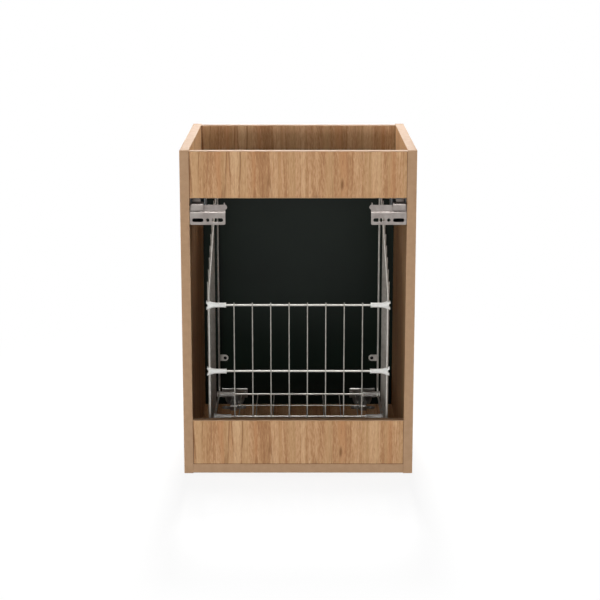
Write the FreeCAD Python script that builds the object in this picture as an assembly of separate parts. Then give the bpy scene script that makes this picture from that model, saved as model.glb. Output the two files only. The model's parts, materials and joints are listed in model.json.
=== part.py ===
import FreeCAD, Part
import math
import os

# A wall-hung laundry cabinet with a wire basket on a tilting door, in millimetres.
# +X is to the right seen from the wall, +Y runs from the wall to the door, +Z is up.
# The origin is under the middle of the closed cabinet, level with its feet.

Vector = FreeCAD.Vector
X_AXIS = Vector(1, 0, 0)
Y_AXIS = Vector(0, 1, 0)
Z_AXIS = Vector(0, 0, 1)

# Carcass boards
WIDTH = 400.0
HEIGHT = 570.0
SIDE_DEPTH = 378.0
BOARD = 16.0
BAND = 1.0
RAIL_HEIGHT = 80.0
TOP_RAIL_DROP = 1.5
BOTTOM_LIFT = 1.0
BOTTOM_SETBACK = 10.0

# Dowels and cam fittings of the carcass
DOWEL_RADIUS = 4.0
DOWEL_IN_PANEL = 20.0
DOWEL_IN_SIDE = 10.0
DOWEL_END_ROOM = 0.5
RAIL_DOWEL_OFFSET = 24.0
BOTTOM_DOWEL_INSET = 60.0
CAM_RADIUS = 7.5
CAM_DEPTH = 12.0
CAM_FROM_END = 24.0
CAM_SLOT_WIDTH = 1.6
CAM_SLOT_DEPTH = 1.5
BOTTOM_CAM_INSET = 110.0
BOLT_RADIUS = 3.0
BOLT_TIP_OFFSET = 1.5
BOLT_IN_SIDE = 11.0
JOINERY_CLEARANCE = 0.05

# Door
DOOR_THICKNESS = 18.0
DOOR_GAP = 4.0
DOOR_SIDE_REVEAL = 2.0
DOOR_LIFT = 5.0
DOOR_TOP_DROP = 5.0
BUMPER_RADIUS = 4.0
BUMPER_TOP_DROP = 25.0
BUMPER_CLEARANCE = 0.3

# Screws
SCREW_CLEARANCE = 0.05
SCREW_HEAD_TAPER = 0.75
RECESS_WIDTH = 1.1
RECESS_DEPTH = 1.2

# Wall hangers
HANGER_WIDTH = 26.0
HANGER_DEPTH = 46.0
HANGER_WALL = 2.0
HANGER_GAP = 4.0
HANGER_FLANGE = 18.0
HANGER_ABOVE_HOOK = 26.0
HANGER_BELOW_HOOK = 39.0
HOOK_DROP = 9.5
HOOK_THICKNESS = 2.5
HOOK_LIP = 10.6
HOOK_LEG = 27.0
HOOK_LEG_INSET = 2.0
HOOK_CLEARANCE = 0.5
HOOK_TRAVEL = 6.0
LIP_CLEARANCE = 0.3
HANGER_SCREW_RADIUS = 2.0
HANGER_SCREW_LENGTH = 13.0
HANGER_SCREW_HEAD = 4.0
HANGER_SCREW_HEAD_HEIGHT = 2.4
HANGER_SCREW_INSET = 15.0
ADJUSTER_RADIUS = 2.5
ADJUSTER_HEAD = 4.5
ADJUSTER_HEAD_HEIGHT = 3.0
ADJUSTER_LOW = 17.0
ADJUSTER_SPACING = 30.0

# Wall plates
PLATE_WIDTH = 60.0
PLATE_THICKNESS = 2.0
PLATE_FLAT = 20.0
PLATE_JOGGLE = 4.0
PLATE_FLANGE = 9.5
PLATE_SIDE_GAP = 0.5
PLATE_SLOT_LENGTH = 19.0
PLATE_SLOT_WIDTH = 6.5
PLATE_SLOT_SPACING = 33.4
PLATE_HOLE_RADIUS = 3.0
PLATE_HOLE_LIFT = 8.0
PLATE_EAR_WIDTH = 3.5
PLATE_EAR_HEIGHT = 3.5

# Hinges
HINGE_INSET = 58.0
CUP_RADIUS = 17.5
CUP_WALL = 1.0
CUP_DEPTH = 12.5
CUP_EDGE = 3.5
CUP_CLEARANCE = 0.05
FLANGE_WIDTH = 51.0
FLANGE_HEIGHT = 18.5
FLANGE_OFFSET = 9.5
FLANGE_THICKNESS = 1.5
RIM_WIDTH = 1.5
CUP_SCREW_SPACING = 42.0
CUP_SCREW_RADIUS = 1.8
CUP_SCREW_LENGTH = 13.0
CUP_SCREW_HEAD = 3.4
CUP_SCREW_HEAD_HEIGHT = 1.8
PIVOT_DEPTH = 8.6
PIVOT_LIFT = 8.5
PIN_RADIUS = 1.25
PIN_FIT = 0.05
PIN_PRESS_FIT = 0.02
KNUCKLE_RADIUS = 2.4
KNUCKLE_SIDE_ROOM = 0.8
EAR_THICKNESS = 2.5
ARM_WIDTH = 12.0
ARM_THICKNESS = 4.0
ARM_STANDOFF = 6.0
ARM_TAIL = 48.0
MOUNT_HEIGHT = 10.0
MOUNT_BLOCK_WIDTH = 14.0
MOUNT_BLOCK_LENGTH = 36.0
MOUNT_SETBACK = 28.0
WING_SPAN = 47.0
WING_DEPTH = 14.0
WING_THICKNESS = 2.0
WING_SCREW_SPACING = 32.0
WING_SCREW_RADIUS = 2.0
WING_SCREW_LENGTH = 12.0
WING_SCREW_HEAD = 3.6
WING_SCREW_HEAD_HEIGHT = 1.8
ARM_SCREW_RADIUS = 2.0
ARM_SCREW_LENGTH = 10.0
ARM_SCREW_HEAD = 3.6
ARM_SCREW_HEAD_HEIGHT = 2.0

# Basket wires
FRAME_RADIUS = 1.8
ROD_RADIUS = 1.8
MESH_RADIUS = 1.0
WELD_GAP = 0.02
FRAME_BEND = 12.0
MESH_BEND = 15.0
MESH_PITCH = 32.0
MESH_MARGIN = 40.0
MESH_END = 3.0
SIDE_WIRE_REAR_MARGIN = 15.0
SIDE_WIRE_FRONT_MARGIN = 80.0
SIDE_WIRE_END = 6.0

# Basket places
BASKET_SIDE_GAP = 28.0
BASKET_REAR_GAP = 27.0
BASKET_LIFT = 23.0
SWING_CLEARANCE = 16.0
UPPER_ROD_DROP = 20.0
LOWER_ROD_SHARE = 0.53
FLOOR_ROD_INSET = 20.0
FLOOR_PITCH = 74.5
CROSS_WIRE_OVERHANG = 5.0

# Basket connectors and tabs
SLEEVE_RADIUS = 4.5
SLEEVE_LENGTH = 30.0
CLIP_RADIUS = 8.0
CLIP_THICKNESS = 11.0
CLIP_INWARD = 6.0
CLIP_OUTWARD = 4.0
CLIP_TAPER = 6.0
FORK_SLOT = 2.8
ROD_END_ROOM = 8.5
CONNECTOR_CLEARANCE = 0.05
TAB_REACH = 18.0
TAB_HEIGHT = 12.3
TAB_THICKNESS = 2.0
TAB_HOLE_RADIUS = 2.2
LOW_TAB_LIFT = 68.0
TOP_TAB_DROP = 32.0
TAB_SCREW_RADIUS = 2.0
TAB_SCREW_LENGTH = 14.0
TAB_SCREW_HEAD = 3.2
TAB_SCREW_HEAD_HEIGHT = 2.0

# Planes of the carcass and of the door
REAR = -(SIDE_DEPTH + DOOR_GAP + DOOR_THICKNESS) / 2
FRONT = REAR + SIDE_DEPTH
DOOR_INNER = FRONT + DOOR_GAP
DOOR_OUTER = DOOR_INNER + DOOR_THICKNESS
OUTER = WIDTH / 2
INNER = OUTER - BOARD
REAR_RAIL_INNER = REAR + BOARD
FRONT_RAIL_INNER = FRONT - BOARD
BOTTOM_TOP = BOTTOM_LIFT + BOARD
BOTTOM_FRONT = FRONT - BOTTOM_SETBACK
TOP_RAIL_TOP = HEIGHT - TOP_RAIL_DROP
TOP_RAIL_BOTTOM = TOP_RAIL_TOP - RAIL_HEIGHT
LOW_RAIL_TOP = BOTTOM_TOP + RAIL_HEIGHT
DOOR_HALF = OUTER - DOOR_SIDE_REVEAL
DOOR_TOP = HEIGHT - DOOR_TOP_DROP

# Planes of the hangers
HOOK_TOP = TOP_RAIL_BOTTOM - HOOK_DROP
HOOK_UNDERSIDE = HOOK_TOP - HOOK_THICKNESS
HANGER_REAR = REAR_RAIL_INNER + HANGER_GAP
HANGER_FRONT = HANGER_REAR + HANGER_DEPTH
HANGER_BOTTOM = HOOK_TOP - HANGER_BELOW_HOOK
HANGER_TOP = HOOK_TOP + HANGER_ABOVE_HOOK
LEG_REAR = HANGER_REAR + HANGER_WALL + HOOK_LEG_INSET
LEG_FRONT = LEG_REAR + HOOK_THICKNESS
PLATE_BOTTOM = HOOK_UNDERSIDE - PLATE_FLANGE - PLATE_JOGGLE - PLATE_FLAT

# The hinge axis, and the basket corners that swing on one circle about it
HINGE_X = INNER - HINGE_INSET
CUP_HEIGHT = DOOR_LIFT + CUP_EDGE + CUP_RADIUS
PIVOT_Y = DOOR_INNER + PIVOT_DEPTH
PIVOT_Z = DOOR_LIFT + PIVOT_LIFT
ARM_LOW = BOTTOM_TOP + MOUNT_HEIGHT
ARM_MIDDLE = ARM_LOW + ARM_THICKNESS / 2
MOUNT_Y = BOTTOM_FRONT - MOUNT_SETBACK
BASKET_HALF = INNER - BASKET_SIDE_GAP
BASKET_REAR = REAR_RAIL_INNER + BASKET_REAR_GAP
BASKET_FRONT = DOOR_INNER - TAB_THICKNESS - FRAME_RADIUS - WELD_GAP
BASKET_LOW = BOTTOM_TOP + BASKET_LIFT
SWING_RADIUS = TOP_RAIL_BOTTOM - PIVOT_Z - SWING_CLEARANCE
REAR_CORNER = PIVOT_Z + math.sqrt(SWING_RADIUS ** 2 - (PIVOT_Y - BASKET_REAR) ** 2)
FRONT_CORNER = PIVOT_Z + math.sqrt(SWING_RADIUS ** 2 - (PIVOT_Y - BASKET_FRONT) ** 2)
UPPER_ROD_Z = REAR_CORNER - UPPER_ROD_DROP
LOWER_ROD_Z = BASKET_LOW + LOWER_ROD_SHARE * (UPPER_ROD_Z - BASKET_LOW)
FRONT_ROD_Y = BASKET_FRONT - FLOOR_ROD_INSET
MIDDLE_ROD_Y = FRONT_ROD_Y - 2 * FLOOR_PITCH
WIRE_OFFSET = ROD_RADIUS + MESH_RADIUS + WELD_GAP
MESH_REAR = BASKET_REAR - WIRE_OFFSET
MESH_LOW = BASKET_LOW - WIRE_OFFSET

SIDES = {"left": -1, "right": 1}

pieces = {}
cuts = {}


def add(node, solid):
    pieces.setdefault(node, []).append(solid)


def drill(node, hole):
    cuts.setdefault(node, []).append(hole)


def block(x, y, z):
    """A box from three pairs of limits."""
    spans = (x, y, z)
    low = [min(span) for span in spans]
    size = [max(span) - min(span) for span in spans]
    return Part.makeBox(*size, Vector(*low))


def bar(start, end, radius):
    """A round bar between two points."""
    return Part.makeCylinder(radius, (end - start).Length, start, end - start)


def cross_bar(x, y, z, radius):
    """A round bar along X, from one end of the pair x to the other."""
    return bar(Vector(min(x), y, z), Vector(max(x), y, z), radius)


def prism(outline, x):
    """A solid along X whose section is an outline of (y, z) points."""
    points = [Vector(min(x), y, z) for y, z in outline]
    face = Part.Face(Part.makePolygon(points + points[:1]))
    return face.extrude(X_AXIS * (max(x) - min(x)))


def rounded_path(points, bend):
    """Straight runs joined by tangent arcs of one bend radius."""
    edges = []
    last = points[0]
    for before, corner, after in zip(points, points[1:], points[2:]):
        back = (before - corner).normalize()
        ahead = (after - corner).normalize()
        half_angle = back.getAngle(ahead) / 2
        cut_back = bend / math.tan(half_angle)
        enter = corner + back * cut_back
        leave = corner + ahead * cut_back
        middle = corner + (back + ahead).normalize() * (bend / math.sin(half_angle) - bend)
        edges.append(Part.LineSegment(last, enter).toShape())
        edges.append(Part.Arc(enter, middle, leave).toShape())
        last = leave
    edges.append(Part.LineSegment(last, points[-1]).toShape())
    return Part.Wire(edges)


def bent_wire(points, bend, radius):
    """A round wire along a rounded path."""
    section = Part.Wire(Part.makeCircle(radius, points[0], points[1] - points[0]))
    return rounded_path(points, bend).makePipeShell([section], True, False)


def screw(seat, direction, radius, length, head_radius, head_height):
    """A cross-recess screw whose head stands on seat and whose shank runs along direction."""
    shank = Part.makeCylinder(radius, length, Vector(0, 0, 0), -Z_AXIS)
    head = Part.makeCone(head_radius, head_radius * SCREW_HEAD_TAPER, head_height)
    reach = head_radius * SCREW_HEAD_TAPER / 2
    recess_z = (head_height - RECESS_DEPTH, head_height)
    half = RECESS_WIDTH / 2
    recess = block((-reach, reach), (-half, half), recess_z).fuse(
        block((-half, half), (-reach, reach), recess_z))
    solid = shank.fuse(head).removeSplitter().cut(recess)
    solid.Placement = FreeCAD.Placement(seat, FreeCAD.Rotation(-Z_AXIS, direction))
    return solid


def screw_hole(seat, direction, radius, length):
    """The pilot hole that a screw's shank fills."""
    return Part.makeCylinder(radius + SCREW_CLEARANCE, length + SCREW_CLEARANCE, seat, direction)


# Carcass joinery

def dowel_joint(panel, hand, y, z):
    """A dowel from the end of a panel into the side panel."""
    side = SIDES[hand]
    ends = (side * (INNER - DOWEL_IN_PANEL), side * (INNER + DOWEL_IN_SIDE))
    hole_ends = (ends[0] - side * DOWEL_END_ROOM, ends[1] + side * DOWEL_END_ROOM)
    add("carcass_dowels", cross_bar(ends, y, z, DOWEL_RADIUS))
    hole = cross_bar(hole_ends, y, z, DOWEL_RADIUS + JOINERY_CLEARANCE)
    drill(panel, hole)
    drill(hand + "_side_panel", hole)


def cam_joint(panel, hand, y, z, inward):
    """A bolt in the side panel and the cam in a panel that pulls it tight.

    The cam is bored from the face that inward points away from.
    """
    side = SIDES[hand]
    cam_x = side * (INNER - CAM_FROM_END)
    tip = cam_x + side * BOLT_TIP_OFFSET
    bolt_end = side * (INNER + BOLT_IN_SIDE)
    face = Vector(cam_x, y, z) - inward * (BOARD / 2)
    add("cam_bolts", cross_bar((tip, bolt_end), y, z, BOLT_RADIUS))
    bolt_hole = cross_bar((cam_x, bolt_end + side * DOWEL_END_ROOM), y, z, BOLT_RADIUS + JOINERY_CLEARANCE)
    cam_bore = Part.makeCylinder(CAM_RADIUS + JOINERY_CLEARANCE, CAM_DEPTH, face, inward)
    drill(panel, bolt_hole)
    drill(panel, cam_bore)
    drill(hand + "_side_panel", bolt_hole)
    across = inward.cross(X_AXIS)
    slot_middle = face + inward * (CAM_SLOT_DEPTH / 2)
    slot_reach = X_AXIS * CAM_RADIUS + across * (CAM_SLOT_WIDTH / 2) + inward * (CAM_SLOT_DEPTH / 2)
    low = slot_middle - slot_reach
    high = slot_middle + slot_reach
    slot = block((low.x, high.x), (low.y, high.y), (low.z, high.z))
    cam = Part.makeCylinder(CAM_RADIUS, CAM_DEPTH, face, inward)
    add("cam_housings", cam.cut([bolt_hole, slot]))


def join_carcass():
    """Every rail's cams face the door, which keeps them out of sight from the wall and from the front."""
    rail_rows = {
        "rear_top_rail": (REAR + BOARD / 2, (TOP_RAIL_TOP + TOP_RAIL_BOTTOM) / 2),
        "rear_bottom_rail": (REAR + BOARD / 2, (LOW_RAIL_TOP + BOTTOM_TOP) / 2),
        "front_top_rail": (FRONT - BOARD / 2, (TOP_RAIL_TOP + TOP_RAIL_BOTTOM) / 2),
    }
    bottom_middle = BOTTOM_LIFT + BOARD / 2
    for hand in SIDES:
        for rail, (y, z) in rail_rows.items():
            dowel_joint(rail, hand, y, z - RAIL_DOWEL_OFFSET)
            dowel_joint(rail, hand, y, z + RAIL_DOWEL_OFFSET)
            cam_joint(rail, hand, y, z, -Y_AXIS)
        for y in (REAR + BOTTOM_DOWEL_INSET, BOTTOM_FRONT - BOTTOM_DOWEL_INSET):
            dowel_joint("bottom_panel", hand, y, bottom_middle)
        for y in (REAR + BOTTOM_CAM_INSET, BOTTOM_FRONT - BOTTOM_CAM_INSET):
            cam_joint("bottom_panel", hand, y, bottom_middle, Z_AXIS)


# Wall hangers

def hanger_body(hand):
    side = SIDES[hand]
    middle_x = side * (INNER - HANGER_WIDTH / 2)
    height = (HANGER_BOTTOM, HANGER_TOP)
    shell = block((side * (INNER - HANGER_WIDTH), side * INNER), (HANGER_REAR, HANGER_FRONT), height)
    cavity_x = (side * (INNER - HANGER_WIDTH + HANGER_WALL), side * (INNER - HANGER_WALL))
    cavity = block(
        cavity_x,
        (HANGER_REAR + HANGER_WALL, HANGER_FRONT - HANGER_WALL),
        (HANGER_BOTTOM + HANGER_WALL, HANGER_TOP - HANGER_WALL))
    window_room = HOOK_TRAVEL + HOOK_CLEARANCE
    window = block(
        cavity_x,
        (HANGER_REAR, HANGER_REAR + HANGER_WALL),
        (HOOK_UNDERSIDE - window_room, HOOK_TOP + window_room))
    flange = block(
        (side * (INNER - HANGER_WALL), side * INNER),
        (HANGER_FRONT, HANGER_FRONT + HANGER_FLANGE),
        height)
    body = shell.cut([cavity, window]).fuse(flange).removeSplitter()

    holes = []
    adjuster_length = HANGER_FRONT - LEG_FRONT - LIP_CLEARANCE
    for step in range(2):
        seat = Vector(middle_x, HANGER_FRONT, HANGER_BOTTOM + ADJUSTER_LOW + step * ADJUSTER_SPACING)
        add("hanger_adjusting_screws", screw(
            seat, -Y_AXIS, ADJUSTER_RADIUS, adjuster_length, ADJUSTER_HEAD, ADJUSTER_HEAD_HEIGHT))
        holes.append(screw_hole(seat, -Y_AXIS, ADJUSTER_RADIUS, HANGER_WALL))
    for z in (HANGER_BOTTOM + HANGER_SCREW_INSET, HANGER_TOP - HANGER_SCREW_INSET):
        seat = Vector(side * (INNER - HANGER_WALL), HANGER_FRONT + HANGER_FLANGE / 2, z)
        outwards = X_AXIS * side
        add("hanger_fixing_screws", screw(
            seat, outwards, HANGER_SCREW_RADIUS, HANGER_SCREW_LENGTH,
            HANGER_SCREW_HEAD, HANGER_SCREW_HEAD_HEIGHT))
        hole = screw_hole(seat, outwards, HANGER_SCREW_RADIUS, HANGER_SCREW_LENGTH)
        holes.append(hole)
        drill(hand + "_side_panel", hole)
    add(hand + "_hanger_body", body.cut(holes))


def hanger_hook(hand):
    """A strip bent over: a leg inside the body, an arm to the wall and a lip behind the wall plate."""
    side = SIDES[hand]
    inset = HANGER_WALL + HOOK_CLEARANCE
    x = (side * (INNER - HANGER_WIDTH + inset), side * (INNER - inset))
    lip_front = REAR + PLATE_JOGGLE - LIP_CLEARANCE
    lip_rear = lip_front - HOOK_THICKNESS
    outline = [
        (lip_rear, HOOK_TOP - HOOK_LIP),
        (lip_rear, HOOK_TOP),
        (LEG_FRONT, HOOK_TOP),
        (LEG_FRONT, HOOK_TOP - HOOK_LEG),
        (LEG_REAR, HOOK_TOP - HOOK_LEG),
        (LEG_REAR, HOOK_UNDERSIDE),
        (lip_front, HOOK_UNDERSIDE),
        (lip_front, HOOK_TOP - HOOK_LIP),
    ]
    add(hand + "_hanger_hook", prism(outline, x))


def wall_plate(hand):
    """A joggled strip: the flat goes on the wall, the flange stands off it and carries the hook."""
    side = SIDES[hand]
    outer_end = side * (INNER - PLATE_SIDE_GAP)
    inner_end = outer_end - side * PLATE_WIDTH
    middle_x = (outer_end + inner_end) / 2
    flat_top = PLATE_BOTTOM + PLATE_FLAT
    bend_shift = PLATE_THICKNESS * math.tan(math.pi / 8)
    outline = [
        (REAR, PLATE_BOTTOM),
        (REAR, flat_top),
        (REAR + PLATE_JOGGLE, flat_top + PLATE_JOGGLE),
        (REAR + PLATE_JOGGLE, HOOK_UNDERSIDE),
        (REAR + PLATE_JOGGLE + PLATE_THICKNESS, HOOK_UNDERSIDE),
        (REAR + PLATE_JOGGLE + PLATE_THICKNESS, flat_top + PLATE_JOGGLE - bend_shift),
        (REAR + PLATE_THICKNESS, flat_top - bend_shift),
        (REAR + PLATE_THICKNESS, PLATE_BOTTOM),
    ]
    plate = prism(outline, (inner_end, outer_end))
    ear = block(
        (inner_end, inner_end + side * PLATE_EAR_WIDTH),
        (REAR + PLATE_JOGGLE, REAR + PLATE_JOGGLE + PLATE_THICKNESS),
        (HOOK_UNDERSIDE, HOOK_UNDERSIDE + PLATE_EAR_HEIGHT))
    hole_z = PLATE_BOTTOM + PLATE_HOLE_LIFT
    through = Y_AXIS * PLATE_THICKNESS
    holes = [bar(Vector(middle_x, REAR, hole_z), Vector(middle_x, REAR, hole_z) + through, PLATE_HOLE_RADIUS)]
    half_run = (PLATE_SLOT_LENGTH - PLATE_SLOT_WIDTH) / 2
    for slot_x in (middle_x - PLATE_SLOT_SPACING / 2, middle_x + PLATE_SLOT_SPACING / 2):
        holes.append(block(
            (slot_x - half_run, slot_x + half_run),
            (REAR, REAR + PLATE_THICKNESS),
            (hole_z - PLATE_SLOT_WIDTH / 2, hole_z + PLATE_SLOT_WIDTH / 2)))
        for end_x in (slot_x - half_run, slot_x + half_run):
            end = Vector(end_x, REAR, hole_z)
            holes.append(bar(end, end + through, PLATE_SLOT_WIDTH / 2))
    add(hand + "_wall_plate", plate.fuse(ear).removeSplitter().cut(holes))


# Hinges

def hinge_plate(hand):
    """The plate on the bottom panel: a block under the arm and two screwed wings."""
    x = SIDES[hand] * HINGE_X
    block_z = (BOTTOM_TOP, ARM_LOW)
    wing_z = (BOTTOM_TOP, BOTTOM_TOP + WING_THICKNESS)
    half_wing = WING_SPAN / 2 - WING_DEPTH / 2
    plate = block(
        (x - MOUNT_BLOCK_WIDTH / 2, x + MOUNT_BLOCK_WIDTH / 2),
        (MOUNT_Y - MOUNT_BLOCK_LENGTH / 2, MOUNT_Y + MOUNT_BLOCK_LENGTH / 2),
        block_z)
    wings = [block((x - half_wing, x + half_wing), (MOUNT_Y - WING_DEPTH / 2, MOUNT_Y + WING_DEPTH / 2), wing_z)]
    for end_x in (x - half_wing, x + half_wing):
        wings.append(Part.makeCylinder(WING_DEPTH / 2, WING_THICKNESS, Vector(end_x, MOUNT_Y, BOTTOM_TOP)))
    plate = plate.fuse(wings).removeSplitter()
    holes = []
    for screw_x in (x - WING_SCREW_SPACING / 2, x + WING_SCREW_SPACING / 2):
        seat = Vector(screw_x, MOUNT_Y, BOTTOM_TOP + WING_THICKNESS)
        add("hinge_plate_screws", screw(
            seat, -Z_AXIS, WING_SCREW_RADIUS, WING_SCREW_LENGTH, WING_SCREW_HEAD, WING_SCREW_HEAD_HEIGHT))
        hole = screw_hole(seat, -Z_AXIS, WING_SCREW_RADIUS, WING_SCREW_LENGTH)
        holes.append(hole)
        drill("bottom_panel", hole)
    arm_seat = Vector(x, MOUNT_Y, ARM_LOW + ARM_THICKNESS)
    add("hinge_arm_screws", screw(
        arm_seat, -Z_AXIS, ARM_SCREW_RADIUS, ARM_SCREW_LENGTH, ARM_SCREW_HEAD, ARM_SCREW_HEAD_HEIGHT))
    arm_hole = screw_hole(arm_seat, -Z_AXIS, ARM_SCREW_RADIUS, ARM_SCREW_LENGTH)
    holes.append(arm_hole)
    drill(hand + "_hinge_arm", arm_hole)
    add(hand + "_hinge_plate", plate.cut(holes))


def hinge_arm(hand):
    """The cranked arm: flat on its plate, then down into the cup to the knuckle on the pin."""
    x = SIDES[hand] * HINGE_X
    width = (x - ARM_WIDTH / 2, x + ARM_WIDTH / 2)
    bend_y = DOOR_INNER - ARM_STANDOFF
    tail_y = bend_y - ARM_TAIL
    drop_y = PIVOT_Y - bend_y
    drop_z = PIVOT_Z - ARM_MIDDLE
    reach = math.hypot(drop_y, drop_z)
    side_y = -drop_z / reach * ARM_THICKNESS / 2
    side_z = drop_y / reach * ARM_THICKNESS / 2
    flat = block(width, (tail_y, bend_y), (ARM_LOW, ARM_LOW + ARM_THICKNESS))
    slope = prism([
        (bend_y + side_y, ARM_MIDDLE + side_z),
        (PIVOT_Y + side_y, PIVOT_Z + side_z),
        (PIVOT_Y - side_y, PIVOT_Z - side_z),
        (bend_y - side_y, ARM_MIDDLE - side_z),
    ], width)
    bend = cross_bar(width, bend_y, ARM_MIDDLE, ARM_THICKNESS / 2)
    knuckle = cross_bar(width, PIVOT_Y, PIVOT_Z, KNUCKLE_RADIUS)
    pin_hole = cross_bar(width, PIVOT_Y, PIVOT_Z, PIN_RADIUS + PIN_FIT)
    arm = flat.fuse([slope, bend, knuckle]).removeSplitter()
    add(hand + "_hinge_arm", arm.cut([pin_hole] + cuts[hand + "_hinge_arm"]))


def hinge_cup(hand):
    """The cup in the door, with its screwed flange and the two ears that hold the pin."""
    x = SIDES[hand] * HINGE_X
    mouth = Vector(x, DOOR_INNER, CUP_HEIGHT)
    face = mouth - Y_AXIS * FLANGE_THICKNESS
    bore_radius = CUP_RADIUS - CUP_WALL
    flange_z = CUP_HEIGHT + FLANGE_OFFSET
    flange = block(
        (x - FLANGE_WIDTH / 2, x + FLANGE_WIDTH / 2),
        (face.y, DOOR_INNER),
        (flange_z - FLANGE_HEIGHT / 2, flange_z + FLANGE_HEIGHT / 2))
    rim = Part.makeCylinder(CUP_RADIUS + RIM_WIDTH, FLANGE_THICKNESS, face, Y_AXIS)
    outside = Part.makeCylinder(CUP_RADIUS, CUP_DEPTH, mouth, Y_AXIS)
    inside = Part.makeCylinder(bore_radius, FLANGE_THICKNESS + CUP_DEPTH - CUP_WALL, face, Y_AXIS)
    cup = outside.fuse([rim, flange]).cut(inside)
    ear_start = ARM_WIDTH / 2 + KNUCKLE_SIDE_ROOM
    ear_end = ear_start + EAR_THICKNESS
    ears = []
    for turn in (-1, 1):
        ear = block(
            (x + turn * ear_start, x + turn * ear_end),
            (PIVOT_Y - KNUCKLE_RADIUS, DOOR_INNER + CUP_DEPTH),
            (PIVOT_Z - KNUCKLE_RADIUS, PIVOT_Z + KNUCKLE_RADIUS))
        ears.append(ear.common(outside))
    pin_ends = (x - ear_end, x + ear_end)
    pin = cross_bar(pin_ends, PIVOT_Y, PIVOT_Z, PIN_RADIUS)
    pin_hole = cross_bar(pin_ends, PIVOT_Y, PIVOT_Z, PIN_RADIUS + PIN_PRESS_FIT)
    cup = cup.fuse(ears).removeSplitter()
    holes = [pin_hole]
    for screw_x in (x - CUP_SCREW_SPACING / 2, x + CUP_SCREW_SPACING / 2):
        seat = Vector(screw_x, face.y, flange_z)
        add("hinge_cup_screws", screw(
            seat, Y_AXIS, CUP_SCREW_RADIUS, CUP_SCREW_LENGTH, CUP_SCREW_HEAD, CUP_SCREW_HEAD_HEIGHT))
        hole = screw_hole(seat, Y_AXIS, CUP_SCREW_RADIUS, CUP_SCREW_LENGTH)
        holes.append(hole)
        drill("door_panel", hole)
    drill("door_panel", Part.makeCylinder(CUP_RADIUS + CUP_CLEARANCE, CUP_DEPTH + CUP_CLEARANCE, mouth, Y_AXIS))
    add("hinge_pins", pin)
    add(hand + "_hinge_cup", cup.cut(holes))


# Basket

def slant_height(y):
    """The height of the slanted frame wire above a place in the depth."""
    slope = (FRONT_CORNER - REAR_CORNER) / (BASKET_FRONT - BASKET_REAR)
    return REAR_CORNER + slope * (y - BASKET_REAR)


def basket_side(hand):
    """One wire bent into the side's outline and butt-welded below, with upright wires on its outside."""
    side = SIDES[hand]
    x = side * BASKET_HALF
    weld_y = (BASKET_REAR + BASKET_FRONT) / 2
    outline = [
        (weld_y, BASKET_LOW),
        (BASKET_FRONT, BASKET_LOW),
        (BASKET_FRONT, FRONT_CORNER),
        (BASKET_REAR, REAR_CORNER),
        (BASKET_REAR, BASKET_LOW),
        (weld_y - WELD_GAP, BASKET_LOW),
    ]
    add("basket_%s_frame" % hand, bent_wire([Vector(x, y, z) for y, z in outline], FRAME_BEND, FRAME_RADIUS))

    wire_x = side * (BASKET_HALF + FRAME_RADIUS + MESH_RADIUS + WELD_GAP)
    first = BASKET_REAR + SIDE_WIRE_REAR_MARGIN
    last = BASKET_FRONT - SIDE_WIRE_FRONT_MARGIN
    steps_back = math.floor((MIDDLE_ROD_Y - MESH_PITCH / 2 - first) / MESH_PITCH)
    y = MIDDLE_ROD_Y - MESH_PITCH / 2 - steps_back * MESH_PITCH
    while y <= last:
        low = Vector(wire_x, y, BASKET_LOW - MESH_END)
        high = Vector(wire_x, y, slant_height(y) + SIDE_WIRE_END)
        add("basket_%s_wires" % hand, bar(low, high, MESH_RADIUS))
        y += MESH_PITCH


def basket_mesh():
    """L-shaped wires for the wall side and the floor, and the cross wires above the floor."""
    count = math.floor((2 * BASKET_HALF - 2 * MESH_MARGIN) / MESH_PITCH) + 1
    outermost = (count - 1) / 2 * MESH_PITCH
    for step in range(count):
        x = step * MESH_PITCH - outermost
        add("basket_mesh_wires", bent_wire([
            Vector(x, MESH_REAR, UPPER_ROD_Z + ROD_RADIUS + MESH_END),
            Vector(x, MESH_REAR, MESH_LOW),
            Vector(x, FRONT_ROD_Y + ROD_RADIUS + MESH_END, MESH_LOW),
        ], MESH_BEND, MESH_RADIUS))
    reach = outermost + CROSS_WIRE_OVERHANG
    cross_z = MESH_LOW + 2 * MESH_RADIUS + WELD_GAP
    y = FRONT_ROD_Y - FLOOR_PITCH
    while y > MESH_REAR + MESH_BEND + MESH_RADIUS:
        if abs(y - MIDDLE_ROD_Y) > FLOOR_PITCH / 2:
            add("basket_cross_wires", cross_bar((-reach, reach), y, cross_z, MESH_RADIUS))
        y -= FLOOR_PITCH


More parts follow.
